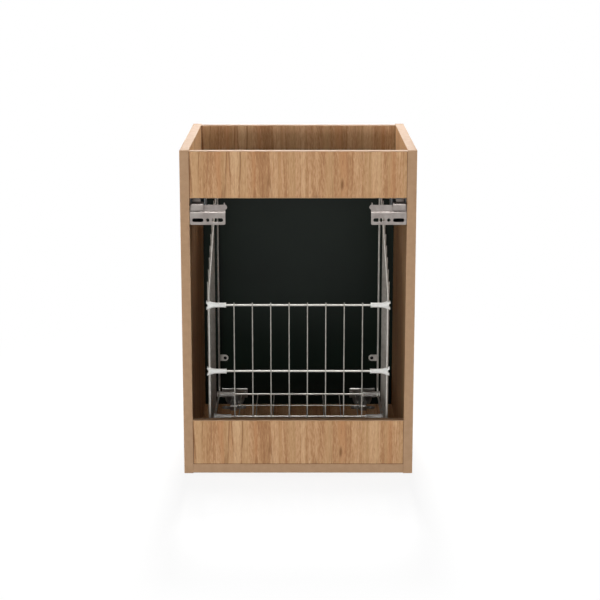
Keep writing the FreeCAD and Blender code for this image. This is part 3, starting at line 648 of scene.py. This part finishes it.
# %% Fold a strip of sheet steel
def folded_strip(name, x, path, thickness, fold):
    """A strip between two x, folded along a path of (y, z) points."""
    deselect()
    first, second = [Vector((0, y, z)) for y, z in path[:2]]
    run = second - first
    middle = (first + second) / 2 + Vector(((x[0] + x[1]) / 2, 0, 0))
    bpy.ops.mesh.primitive_plane_add(size=1, location=middle, rotation=(math.atan2(run.z, run.y), 0, 0))
    bpy.context.object.scale = (x[1] - x[0], run.length, 1)
    strip = settle(name)

    def at(y, z):
        return lambda *points: all(near(point.y, y) and near(point.z, z) for point in points)

    with editing(strip, "EDGE", at(*path[1])):
        for (y, z), (next_y, next_z) in zip(path[1:], path[2:]):
            bpy.ops.mesh.extrude_region_move(TRANSFORM_OT_translate={"value": (0, next_y - y, next_z - z)})
    for y, z in path[1:-1]:
        round_edges(strip, at(y, z), fold, 5)
    turn_outwards(strip)
    apply(strip, "SOLIDIFY", thickness=thickness, offset=0.0)
    return strip


print("folded_strip is ready")

# %% Hooks that hang on the wall plates
HOOK_SHEET = 2.5 * MM
HOOK_FOLD = 2.2 * MM
HOOK_LIP = 10.6 * MM
PRESSED_EDGE = 0.35 * MM
INNER_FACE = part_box("left_side_panel")[1].x * -1
LEAF_INSET = 3.5 * MM
LEAF_WIDTH = 14.0 * MM
LEAF_HEIGHT = 9.0 * MM


def hanger_hook(hand):
    low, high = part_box(hand + "_hanger_hook")
    half = HOOK_SHEET / 2
    path = [
        (low.y + half, high.z - HOOK_LIP),
        (low.y + half, high.z - half),
        (high.y - half, high.z - half),
        (high.y - half, low.z),
    ]
    hook = folded_strip(hand + "_hook_strip", (low.x, high.x), path, HOOK_SHEET, HOOK_FOLD)
    leaf_x = [SIDES[hand] * (INNER_FACE - LEAF_INSET - width) for width in (0, LEAF_WIDTH)]
    leaf_low = (min(leaf_x), high.y - HOOK_SHEET, high.z - 2 * HOOK_SHEET)
    leaf_high = (max(leaf_x), high.y, high.z + LEAF_HEIGHT)
    weld(hook, box_start("leaf", leaf_low, leaf_high))
    soften(hook, PRESSED_EDGE)
    install(hook, hand + "_hanger_hook")


for hand in SIDES:
    hanger_hook(hand)

# %% Wall plates with their slots
PLATE_SHEET = 2.0 * MM
PLATE_FOLD = 0.8 * MM
PLATE_FLAT = 20.0 * MM
PLATE_JOGGLE = 4.0 * MM
JOGGLE_BEND = 1.75 * MM
JOGGLE_RISE = 0.6 * MM
PLATE_EAR = 3.5 * MM
EAR_TAPER = 0.4
LUG_RADIUS = 4.2 * MM
LUG_SHIFT = 0.4 * MM
PLATE_CORNER = 2.5 * MM
SLOT_MARGIN = 3.0 * MM
SHEET_EDGE = 0.3 * MM


def slot_cutter(middle, length, width, depth):
    """A slot with round ends: a box whose four upright corners are bevelled to half its width."""
    reach = Vector((length / 2, depth, width / 2))
    cutter = box_start("slot_cutter", middle - reach, middle + reach)
    round_edges(cutter, lambda a, b: not near(a.y, b.y), width / 2 - TOUCH, 8)
    return cutter


def plate_cutters(hand):
    """Cutters for the two slots and the hole, where the record has them."""
    cutters = []
    for mount in frame["record"]["mounts"]:
        if mount["name"] == hand + "_wall_plate_slots":
            sizes = mount["dims"]
            length = sizes["slot_length_mm"] * MM
            for turn in (-1, 1):
                middle = Vector(mount["pos_m"]) + Vector((turn * sizes["spacing_x_mm"] * MM / 2, 0, 0))
                cutters.append(slot_cutter(middle, length, 2 * sizes["hole_r_mm"] * MM, SLOT_MARGIN))
        if mount["name"] == hand + "_wall_plate_hole":
            reach = Vector((0, SLOT_MARGIN, 0))
            cutters.append(bore(Vector(mount["pos_m"]), reach, mount["dims"]["r_mm"] * MM))
    return cutters


def wall_plate(hand):
    low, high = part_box(hand + "_wall_plate")
    top = high.z - PLATE_EAR
    flat_y = low.y + PLATE_SHEET / 2
    bend_z = low.z + PLATE_FLAT
    path = [
        (flat_y, low.z),
        (flat_y, bend_z),
        (flat_y + JOGGLE_BEND, bend_z + JOGGLE_BEND),
        (flat_y + PLATE_JOGGLE, bend_z + JOGGLE_BEND + JOGGLE_RISE),
        (flat_y + PLATE_JOGGLE, top),
    ]
    plate = folded_strip(hand + "_slotted_plate", (low.x, high.x), path, PLATE_SHEET, PLATE_FOLD)

    def at_lower_corner(a, b):
        return near(a.z, low.z) and near(b.z, low.z) and near(a.x, b.x)

    round_edges(plate, at_lower_corner, PLATE_CORNER, 5)
    inner = low.x if SIDES[hand] > 0 else high.x - PLATE_EAR
    ear_x = inner + PLATE_EAR / 2
    ear_low = (inner, high.y - PLATE_SHEET, top - PLATE_EAR)
    ear = box_start("ear", ear_low, (inner + PLATE_EAR, high.y, high.z))
    resize(ear, "FACE", all_at("z", high.z), (EAR_TAPER, 1, 1), (ear_x, high.y, high.z))
    lug_place = Vector((ear_x - SIDES[hand] * LUG_SHIFT, high.y, top - LUG_RADIUS))
    lug = rod_start("lug", lug_place - Vector((0, PLATE_SHEET, 0)), lug_place, LUG_RADIUS)
    weld(plate, ear, lug)
    carve(plate, *plate_cutters(hand))
    soften(plate, SHEET_EDGE)
    install(plate, hand + "_wall_plate")


for hand in SIDES:
    wall_plate(hand)

# %% [markdown]
# ## Hanger cases
# The case that guides each hook is pressed steel: a box with rounded upright corners, hollow, with a window
# towards the wall in which the hook rises and falls. The hollow and the window are cut as a machinist would,
# with helper boxes, and the screwed flange is welded on.

# %% Hollow cases with a window
HANGER_WALL = 2.0 * MM
HANGER_FLANGE = 18.0 * MM
HANGER_ROUND = 3.0 * MM
HANGER_RIM = 3.0 * MM
WINDOW_ROOM = 0.5 * MM


def hanger_case(hand):
    low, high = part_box(hand + "_hanger_body")
    hook_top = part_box(hand + "_hanger_hook")[1].z
    travel = [joint["range_m"] for joint in frame["joints"] if joint["name"] == hand + "_hanger_lift"][0]
    front = high.y - HANGER_FLANGE
    wall = Vector((HANGER_WALL, HANGER_WALL, HANGER_WALL))
    case = box_start(hand + "_hanger_case", low, (high.x, front, high.z))
    panel_x = low.x if SIDES[hand] < 0 else high.x

    def on_free_upright(a, b):
        return near(a.x, b.x) and near(a.y, b.y) and not near(a.x, panel_x)

    round_edges(case, on_free_upright, HANGER_ROUND, 6)
    hollow = box_start("hollow", low + wall, Vector((high.x, front, high.z)) - wall)
    window = box_start(
        "window",
        (low.x + HANGER_WALL, low.y - HANGER_WALL, low.z + HANGER_RIM),
        (high.x - HANGER_WALL, low.y + 2 * HANGER_WALL, hook_top + travel[1] + WINDOW_ROOM))
    carve(case, hollow, window)
    flange_x = sorted((panel_x, panel_x - SIDES[hand] * HANGER_WALL))
    flange = box_start("flange", (flange_x[0], front - HANGER_WALL, low.z), (flange_x[1], high.y, high.z))

    def on_flange_corner(a, b):
        return near(a.y, high.y) and near(b.y, high.y) and near(a.z, b.z)

    round_edges(flange, on_flange_corner, 2 * HANGER_ROUND, 6)
    weld(case, flange)
    soften(case, PRESSED_EDGE)
    install(case, hand + "_hanger_body")


for hand in SIDES:
    hanger_case(hand)

# %% [markdown]
# ## Copies
# Connectors, screws and weld beads repeat many times. Each is modelled once at the origin, then copied with
# a mesh of its own, turned, moved and mirrored into place. Mirroring turns a mesh inside out, so a mirrored
# copy gets its normals recalculated.

# %% Copy a model into place
def placed_copy(model, name, place, turn=(0, 0, 0), scale=(1, 1, 1)):
    select_only(model)
    bpy.ops.object.duplicate(linked=False)
    bpy.context.object.location = place
    bpy.context.object.rotation_euler = turn
    bpy.context.object.scale = scale
    copy = settle(name)
    if min(scale) < 0:
        turn_outwards(copy)
    return copy


print("placed_copy is ready")

# %% [markdown]
# ## Basket connectors
# Each rod of the basket ends in a white plastic connector: a sleeve over the rod that flares like a fishtail
# and clasps the frame wire. A rod cut into rings is the start. Each ring is then stretched to the flare's
# height and width, the end is scooped out between the two tips, and the bores for rod and wire are cut last.

# %% One fishtail connector
SLEEVE_RADIUS = 4.5 * MM
SLEEVE_END = 30.0 * MM
TAIL_END = -4.0 * MM
WIRE_BORE = 1.85 * MM
ROD_STOP = 8.5 * MM
SCOOP_RADIUS = 4.2 * MM
SCOOP_DEPTH = 2.7 * MM
LIP_RADIUS = 3.0 * MM
LIP_LIFT = 9.2 * MM
MOULD_EDGE = 0.4 * MM
# Along the sleeve in millimetres, with the ring's depth and height in sleeve radii.
FLARE = [
    (-4.0, 1.18, 1.85), (-1.5, 1.20, 1.76), (1.0, 1.20, 1.60), (3.5, 1.16, 1.34), (6.0, 1.08, 1.13),
    (9.0, 1.0, 1.0), (13.0, 0.94, 0.93), (26.5, 0.90, 0.90), (27.3, 0.97, 0.97), (30.0, 0.97, 0.97),
]


def fishtail():
    tail = rod_start("connector_model", (TAIL_END, 0, 0), (SLEEVE_END, 0, 0), SLEEVE_RADIUS)
    for along, _, _ in FLARE[1:-1]:
        with editing(tail, "FACE", anywhere):
            bpy.ops.mesh.bisect(plane_co=(along * MM, 0, 0), plane_no=(1, 0, 0))
    for along, depth, height in FLARE:
        resize(tail, "VERT", all_at("x", along * MM), (1, depth, height), (along * MM, 0, 0))
    width = Vector((0, 3 * SLEEVE_RADIUS, 0))
    scoop = Vector((TAIL_END + SCOOP_DEPTH - SCOOP_RADIUS, 0, 0))
    cutters = [bore(scoop, width, SCOOP_RADIUS)]
    for turn in (-1, 1):
        cutters.append(bore(Vector((0, 0, turn * LIP_LIFT)), width, LIP_RADIUS))
    cutters.append(bore(Vector(), Vector((0, 0, LIP_LIFT)), WIRE_BORE))
    cutters.append(rod_start("rod_bore", (ROD_STOP, 0, 0), (2 * SLEEVE_END, 0, 0), WIRE_BORE))
    carve(tail, *cutters)
    soften(tail, MOULD_EDGE, angle=40)
    return tail


connector_model = fishtail()
print("connector:", len(connector_model.data.polygons), "faces")

# %% Eight connectors on the basket
for hand, side in SIDES.items():
    wire_x = middle_of("basket_%s_frame" % hand).x
    for rod in ("upper", "lower", "middle_floor", "front_floor"):
        node = "%s_rod_%s_connector" % (rod, hand)
        place = middle_of(node)
        place.x = wire_x
        turn = (math.pi / 2, 0, 0) if rod.endswith("floor") else (0, 0, 0)
        name = "%s_rod_%s_fishtail" % (rod, hand)
        connector = placed_copy(connector_model, name, place, turn, (-side, 1, 1))
        install(connector, node)
bpy.data.objects.remove(connector_model)

# %% [markdown]
# ## Hinges
# A cup hinge has three pressed pieces: a plate screwed to the bottom panel, a cranked arm on it, and a cup
# let into the door, in which the arm turns on a pin. Boxes and rods of their sizes are welded and drilled as
# in a workshop, and one bevel at the end rounds all their edges.

# %% Hinge plates
WING_THICKNESS = 2.0 * MM
WING_DEPTH = 14.0 * MM
WING_SCREW_SPACING = 32.0 * MM
MOUNT_BLOCK_WIDTH = 14.0 * MM
MOUNT_BLOCK_CHAMFER = 1.0 * MM
SCREW_BORE = 2.05 * MM
THROUGH = 30.0 * MM
UPRIGHT = Vector((0, 0, THROUGH))


def hinge_plate(hand):
    low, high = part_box(hand + "_hinge_plate")
    middle = (low + high) / 2
    plate = box_start(
        hand + "_hinge_mount",
        (middle.x - MOUNT_BLOCK_WIDTH / 2, low.y, low.z),
        (middle.x + MOUNT_BLOCK_WIDTH / 2, high.y, high.z))
    round_edges(plate, all_at("z", high.z), MOUNT_BLOCK_CHAMFER, 1)
    wings = box_start(
        "wings",
        (low.x, middle.y - WING_DEPTH / 2, low.z),
        (high.x, middle.y + WING_DEPTH / 2, low.z + WING_THICKNESS))
    round_edges(wings, lambda a, b: not near(a.z, b.z), WING_DEPTH / 2 - TOUCH, 10)
    weld(plate, wings)
    shifts = [Vector((turn * WING_SCREW_SPACING / 2, 0, 0)) for turn in (-1, 0, 1)]
    carve(plate, *[bore(middle + shift, UPRIGHT, SCREW_BORE) for shift in shifts])
    soften(plate, SHEET_EDGE)
    install(plate, hand + "_hinge_plate")


for hand in SIDES:
    hinge_plate(hand)

# %% Cranked arms
ARM_THICKNESS = 4.0 * MM
ARM_FOLD = 5.0 * MM
ARM_BEND_Y = 176.0 * MM
ARM_ROUND = 1.5 * MM
KNUCKLE_RADIUS = 2.4 * MM
PIN_BORE = 1.3 * MM
ARM_SLOT_WIDTH = 4.2 * MM


def pin_rod(name, pivot, start_x, end_x, radius):
    """A rod along the line that the door turns about."""
    return rod_start(name, (start_x, pivot.y, pivot.z), (end_x, pivot.y, pivot.z), radius)


def hinge_arm(hand):
    low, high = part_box(hand + "_hinge_arm")
    pivot = middle_of("hinge_pins")
    level = high.z - ARM_THICKNESS / 2
    path = [(low.y, level), (ARM_BEND_Y, level), (pivot.y, pivot.z)]
    arm = folded_strip(hand + "_cranked_arm", (low.x, high.x), path, ARM_THICKNESS, ARM_FOLD)

    def on_long_upper_edge(a, b):
        return near(a.x, b.x) and not near(a.y, b.y) and max(a.z, b.z) > level + TOUCH

    round_edges(arm, on_long_upper_edge, ARM_ROUND, 4)
    weld(arm, pin_rod("knuckle", pivot, low.x, high.x, KNUCKLE_RADIUS))
    middle = (low + high) / 2
    screw_y = middle_of(hand + "_hinge_plate").y
    slot = box_start(
        "arm_slot",
        (middle.x - ARM_SLOT_WIDTH / 2, low.y - THROUGH, low.z),
        (middle.x + ARM_SLOT_WIDTH / 2, screw_y, high.z + THROUGH))
    pin_bore = pin_rod("pin_bore", pivot, low.x - THROUGH, high.x + THROUGH, PIN_BORE)
    round_end = bore(Vector((middle.x, screw_y, high.z)), UPRIGHT, ARM_SLOT_WIDTH / 2)
    carve(arm, slot, round_end, pin_bore)
    soften(arm, SHEET_EDGE)
    install(arm, hand + "_hinge_arm")


for hand in SIDES:
    hinge_arm(hand)

# %% Cups with their flanges
CUP_RADIUS = 17.5 * MM
CUP_WALL = 1.0 * MM
CUP_RIM = 19.0 * MM
FLANGE_THICKNESS = 1.5 * MM
FLANGE_HEIGHT = 18.5 * MM
FLANGE_ROUND = 1.5 * MM
FLANGE_LIP = 1.4 * MM
EAR_START = 6.8 * MM
EAR_THICKNESS = 2.5 * MM
EAR_ROUND = 0.9 * KNUCKLE_RADIUS
CUP_SCREW_SPACING = 42.0 * MM
CUP_SCREW_BORE = 1.85 * MM
PIN_PRESS_BORE = 1.27 * MM
CUP_EDGE = 0.4 * MM
CUP_SIDES = 64


def cup_ears(x, pivot, end_y):
    """Two ears inside the cup that hold the pin, rounded about it."""
    start_y = pivot.y - KNUCKLE_RADIUS

    def on_round_end(a, b):
        return near(a.y, start_y) and near(b.y, start_y) and near(a.z, b.z)

    ears = []
    for turn in (-1, 1):
        faces = [x + turn * EAR_START, x + turn * (EAR_START + EAR_THICKNESS)]
        ear_low = (min(faces), start_y, pivot.z - KNUCKLE_RADIUS)
        ear = box_start("ear", ear_low, (max(faces), end_y, pivot.z + KNUCKLE_RADIUS))
        round_edges(ear, on_round_end, EAR_ROUND, 6)
        ears.append(ear)
    return ears


def hinge_cup(hand):
    low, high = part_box(hand + "_hinge_cup")
    pivot = middle_of("hinge_pins")
    x = (low.x + high.x) / 2
    cup_z = low.z + CUP_RIM
    mouth_y = low.y + FLANGE_THICKNESS
    cup = rod_start(hand + "_cup_shell", (x, low.y, cup_z), (x, high.y, cup_z), CUP_RADIUS, CUP_SIDES)
    rim = rod_start("rim", (x, low.y, cup_z), (x, mouth_y, cup_z), CUP_RIM, CUP_SIDES)
    flange = box_start("flange", (low.x, low.y, high.z - FLANGE_HEIGHT), (high.x, mouth_y, high.z))

    def on_upper_lip(a, b):
        return all(near(point.z, high.z) and near(point.y, low.y) for point in (a, b))

    round_edges(flange, on_upper_lip, FLANGE_LIP, 1)
    round_edges(flange, lambda a, b: not near(a.y, b.y), FLANGE_ROUND, 8)
    weld(cup, rim, flange)
    inside_end = (x, high.y - CUP_WALL, cup_z)
    carve(cup, rod_start("inside", (x, low.y - THROUGH, cup_z), inside_end, CUP_RADIUS - CUP_WALL, CUP_SIDES))
    weld(cup, *cup_ears(x, pivot, high.y - CUP_WALL / 2))
    bores = [pin_rod("pin_bore", pivot, low.x, high.x, PIN_PRESS_BORE)]
    for turn in (-1, 1):
        place = Vector((x + turn * CUP_SCREW_SPACING / 2, low.y, high.z - FLANGE_HEIGHT / 2))
        reach = Vector((0, 2 * FLANGE_THICKNESS, 0))
        bores.append(bore(place, reach, CUP_SCREW_BORE))
    carve(cup, *bores)
    soften(cup, CUP_EDGE, segments=3)
    install(cup, hand + "_hinge_cup")


for hand in SIDES:
    hinge_cup(hand)

# %% [markdown]
# ## Screws
# All screws have a low domed head with a cross recess. A screw is modelled upright, with the underside of
# its head at the origin: a rod whose upper rim is bevelled to a dome, two tapered slots cut across it, and a
# shank. Its copies point out of the surface that they hold.

# %% One cross-head screw of any size
SCREW_EDGE = 0.12 * MM
# Shares of the sizes that a screw is given, so that one set of numbers suits them all.
RECESS_WIDTH = 0.3
RECESS_REACH = 0.62
RECESS_DEPTH = 0.62
RECESS_TAPER = 0.6
DOME_HEIGHT = 0.55
SHANK_OVERLAP = 0.25
SHANK_TAPER = 0.5


def cross_head_screw(head_radius, head_height, shank_radius, length):
    head = rod_start("screw_model", (0, 0, 0), (0, 0, head_height), head_radius)
    round_edges(head, all_at("z", head_height), DOME_HEIGHT * head_height, 5)
    half_width = RECESS_WIDTH * head_radius / 2
    half_length = RECESS_REACH * head_radius
    floor_z = (1 - RECESS_DEPTH) * head_height
    for x, y in ((half_width, half_length), (half_length, half_width)):
        slot = box_start("slot", (-x, -y, floor_z), (x, y, 2 * head_height))
        resize(slot, "FACE", all_at("z", floor_z), (RECESS_TAPER, RECESS_TAPER, 1), (0, 0, floor_z))
        carve(head, slot)
    tip_z = head_height - length
    shank = rod_start("shank", (0, 0, tip_z), (0, 0, SHANK_OVERLAP * head_height), shank_radius, 20)
    resize(shank, "FACE", all_at("z", tip_z), (SHANK_TAPER, SHANK_TAPER, 1), (0, 0, tip_z))
    weld(head, shank)
    soften(head, SCREW_EDGE, segments=1)
    return head


print("cross_head_screw is ready")

# %% Every screw in its place
# For each set: the way its heads point, the head's height and the shank's radius in millimetres.
SCREW_SETS = {
    "hanger_fixing_screws": ("inwards", 2.4, 2.0),
    "hanger_adjusting_screws": ((0, 1, 0), 2.0, 2.0),
    "hinge_cup_screws": ((0, -1, 0), 1.8, 1.8),
    "hinge_plate_screws": ((0, 0, 1), 1.8, 2.0),
    "hinge_arm_screws": ((0, 0, 1), 2.0, 2.0),
    "basket_tab_screws": ((0, -1, 0), 2.0, 2.0),
}


def screw_set(node, outwards, head_height, shank_radius):
    copies = []
    model = None
    for low, high in solids_of(node):
        middle = (low + high) / 2
        facing = Vector((-1 if middle.x > 0 else 1, 0, 0)) if outwards == "inwards" else Vector(outwards)
        axis = max(range(3), key=lambda index: abs(facing[index]))
        length = high[axis] - low[axis]
        if model is None:
            across = 0 if axis == 2 else 2
            head_radius = (high[across] - low[across]) / 2
            model = cross_head_screw(head_radius, head_height * MM, shank_radius * MM, length)
        seat = middle + facing * (length / 2 - head_height * MM)
        copies.append(placed_copy(model, "screw", seat, facing.to_track_quat("Z", "Y").to_euler()))
    bpy.data.objects.remove(model)
    install(join(node + "_cross_head", copies), node)


for node, settings in SCREW_SETS.items():
    screw_set(node, *settings)

# %% [markdown]
# ## Bumpers and weld beads
# Two clear bumpers soften the door's closing. They are low domes, bevelled out of a rod. The mesh wires are
# spot-welded wherever they cross, and each weld leaves a small flattened bead, which catches light on the
# joint.

# %% Domed bumpers
BUMPER_DOME = 0.8
BUMPER_EDGE = 0.1 * MM
bumpers = []
for low, high in solids_of("door_bumpers"):
    middle = (low + high) / 2
    radius = (high.z - low.z) / 2
    dome = rod_start("dome", (middle.x, high.y, middle.z), (middle.x, low.y, middle.z), radius)
    round_edges(dome, all_at("y", low.y), BUMPER_DOME * (high.y - low.y), 6)
    soften(dome, BUMPER_EDGE, segments=1)
    bumpers.append(dome)
install(join("domed_bumpers", bumpers), "door_bumpers")

# %% Weld beads where wires cross
BEAD_RADIUS = 1.3 * MM
BEAD_FLATTEN = 0.62
BEAD_SMOOTH = math.radians(60)
BEAD_BELOW_TIP = 6 * MM


def bead_model():
    deselect()
    bpy.ops.mesh.primitive_ico_sphere_add(subdivisions=2, radius=BEAD_RADIUS)
    bead = settle("bead_model")
    resize(bead, "VERT", anywhere, (1, 1, BEAD_FLATTEN), (0, 0, 0))
    bpy.ops.object.shade_smooth_by_angle(angle=BEAD_SMOOTH)
    return bead


wall_rods = [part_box("basket_%s_rod" % rod) for rod in ("upper", "lower")]
floor_rods = [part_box("basket_%s_floor_rod" % rod) for rod in ("middle", "front")]
crossings = []
for wire_low, wire_high in solids_of("basket_mesh_wires"):
    wire_x = (wire_low.x + wire_high.x) / 2
    for low, high in wall_rods:
        crossings.append(((wire_x, low.y, (low.z + high.z) / 2), (math.pi / 2, 0, 0)))
    for low, high in floor_rods + solids_of("basket_cross_wires"):
        crossings.append(((wire_x, (low.y + high.y) / 2, low.z), (0, 0, 0)))
for hand, side in SIDES.items():
    frame_low, frame_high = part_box("basket_%s_frame" % hand)
    outer_x = frame_low.x if side < 0 else frame_high.x
    radius = (frame_high.x - frame_low.x) / 2
    for low, high in solids_of("basket_%s_wires" % hand):
        for z in (frame_low.z + radius, high.z - BEAD_BELOW_TIP):
            crossings.append(((outer_x, (low.y + high.y) / 2, z), (0, math.pi / 2, 0)))
bead = bead_model()
beads = [placed_copy(bead, "bead", place, turn) for place, turn in crossings]
bpy.data.objects.remove(bead)
install(join("basket_weld_beads", beads), "basket_mesh_wires", stands_for=False)

# %% [markdown]
# ## The stage
# The floor and the world are white to the camera and to polished metal. To light that bounces between dull
# surfaces the floor is dark grey and the world nearly black, so the inside of the cabinet stays dark. The
# Light Path node tells the two kinds of ray apart. Near the cabinet a part of the floor's white is ordinary
# paint, which keeps a soft shadow.

# %% A white floor that keeps a soft shadow
FLOOR_SIZE = 14.0
FLOOR_WHITE_SHARE = 0.86
FLOOR_FADE = (0.3, 1.0)
FLOOR_PAINT = srgb(235, 235, 235)
FLOOR_BOUNCE = srgb(64, 64, 64)
FLOOR_ROUGHNESS = 0.9


def seen_directly(tree):
    """1 for rays from the camera, from a mirror or through glass."""
    seen = Socket(tree).node("LightPath", out="Is Camera Ray")
    for kind in ("Glossy", "Transmission"):
        seen = seen.math("MAXIMUM", seen, seen.node("LightPath", out="Is %s Ray" % kind))
    return seen


deselect()
bpy.ops.mesh.primitive_plane_add(size=FLOOR_SIZE, location=(0, 0, cad_low.z))
floor = bpy.context.object
floor.name = "studio_floor"
floor_paint, paint, place = begin("floor_paint", FLOOR_ROUGHNESS, specular=0.0)
tree = floor_paint.node_tree
seen = seen_directly(tree)
feed(paint, seen.mix(FLOOR_BOUNCE, FLOOR_PAINT))
away = place.vector("LENGTH", place, out="Value")
white_share = seen * (away.ease(*FLOOR_FADE) * (1 - FLOOR_WHITE_SHARE) + FLOOR_WHITE_SHARE)
layers = {0: white_share, 1: Socket(tree, paint.outputs["BSDF"]), 2: seen.node("Emission")}
surface = seen.node("MixShader", None, layers)
tree.links.new(surface.output, tree.nodes["Material Output"].inputs["Surface"])
floor.data.materials.append(floor_paint)
print("floor:", FLOOR_SIZE, "m")

# %% A world that is white to the eye and dim as a lamp
WORLD_LIGHT = 0.01
world = bpy.data.worlds.new("studio_world")
bpy.context.scene.world = world
world.use_nodes = True
sky = world.node_tree.nodes["Background"]
sky.inputs["Color"].default_value = (1, 1, 1, 1)
direct = seen_directly(world.node_tree)
world.node_tree.links.new((direct * (1 - WORLD_LIGHT) + WORLD_LIGHT).output, sky.inputs["Strength"])
print("world light:", WORLD_LIGHT)

# %% [markdown]
# ## Light
# The photograph has bright top edges, plain front faces and a dark inside. One lamp can't give all three, so
# each has its own job. A level lamp far behind the camera lights the faces and only grazes the inner walls.
# A small one beside the camera reaches over the near rail to the far one, and its shadows hide behind what
# casts them. Both stand a little to the left, so the right inner wall gets more light, and a weak lamp at the
# left helps the edge of that wall. A strong one above the door side lights the top edges, and what it sends
# through the open top leaves through the open back. Two lamps at the sides light the outer walls.
#
# Metal and lacquer would show these lamps as white patches, so none of them is mirrored. Three cards that
# light nothing show in the gloss instead. The power follows from the share: a share of 1 shows a facing
# surface in the colour that it was given.

# %% Soft lamps round the cabinet
LIGHT_TARGET = Vector((0, 0, 0.35))


def put(name, data, place, turn):
    """A lamp or a camera in the scene."""
    thing = bpy.data.objects.new(name, data)
    bpy.context.scene.collection.objects.link(thing)
    thing.location = place
    thing.rotation_euler = turn
    return thing


def lamp(name, place, width, height, share, card=False):
    """A soft lamp that no mirror shows, or a card that only mirrors show."""
    run = LIGHT_TARGET - Vector(place)
    data = bpy.data.lights.new(name, "AREA")
    data.shape = "RECTANGLE"
    data.size = width
    data.size_y = height
    data.energy = share * (math.pi * run.length) ** 2
    thing = put(name, data, place, run.to_track_quat("-Z", "Y").to_euler())
    thing.visible_diffuse = not card
    thing.visible_glossy = card
    print("%s: %.0f W" % (name, data.energy))


lamp("level_softbox", (-0.3, -8.5, 0.6), 0.3, 0.9, 0.60)
lamp("camera_softbox", (-0.15, -3.0, 1.0), 0.2, 0.3, 0.24)
lamp("corner_softbox", (-6.0, -1.3, 1.0), 1.5, 1.0, 0.12)
lamp("edge_softbox", (0, 4.3, 5.1), 0.5, 1.1, 1.41)
for hand, side in SIDES.items():
    lamp(hand + "_softbox", (side * 5.0, 0.4, 1.5), 1.4, 1.0, 0.75)
lamp("glint_card", (0, -4.4, 4.6), 1.6, 1.0, 0.08, card=True)
lamp("top_card", (0, -1.3, 5.5), 1.6, 1.6, 0.45, card=True)
lamp("rim_card", (0, 4.6, 2.4), 2.0, 0.8, 0.2, card=True)

# %% [markdown]
# ## Camera
# The camera stands on the wall side, above the cabinet's top, and looks down at it through a long lens.

# %% The camera at the photograph's place
CAMERA_PLACE = (0.003, -2.919, 0.938)
CAMERA_PITCH = math.radians(12.96)
CAMERA_LENS = 97.7
camera_data = bpy.data.cameras.new("photo_camera")
camera_data.lens = CAMERA_LENS
camera_turn = (math.pi / 2 - CAMERA_PITCH, 0, 0)
bpy.context.scene.camera = put("photo_camera", camera_data, CAMERA_PLACE, camera_turn)
bpy.context.scene.view_settings.view_transform = "Standard"
print("camera looks down by", round(math.degrees(CAMERA_PITCH), 1), "degrees")
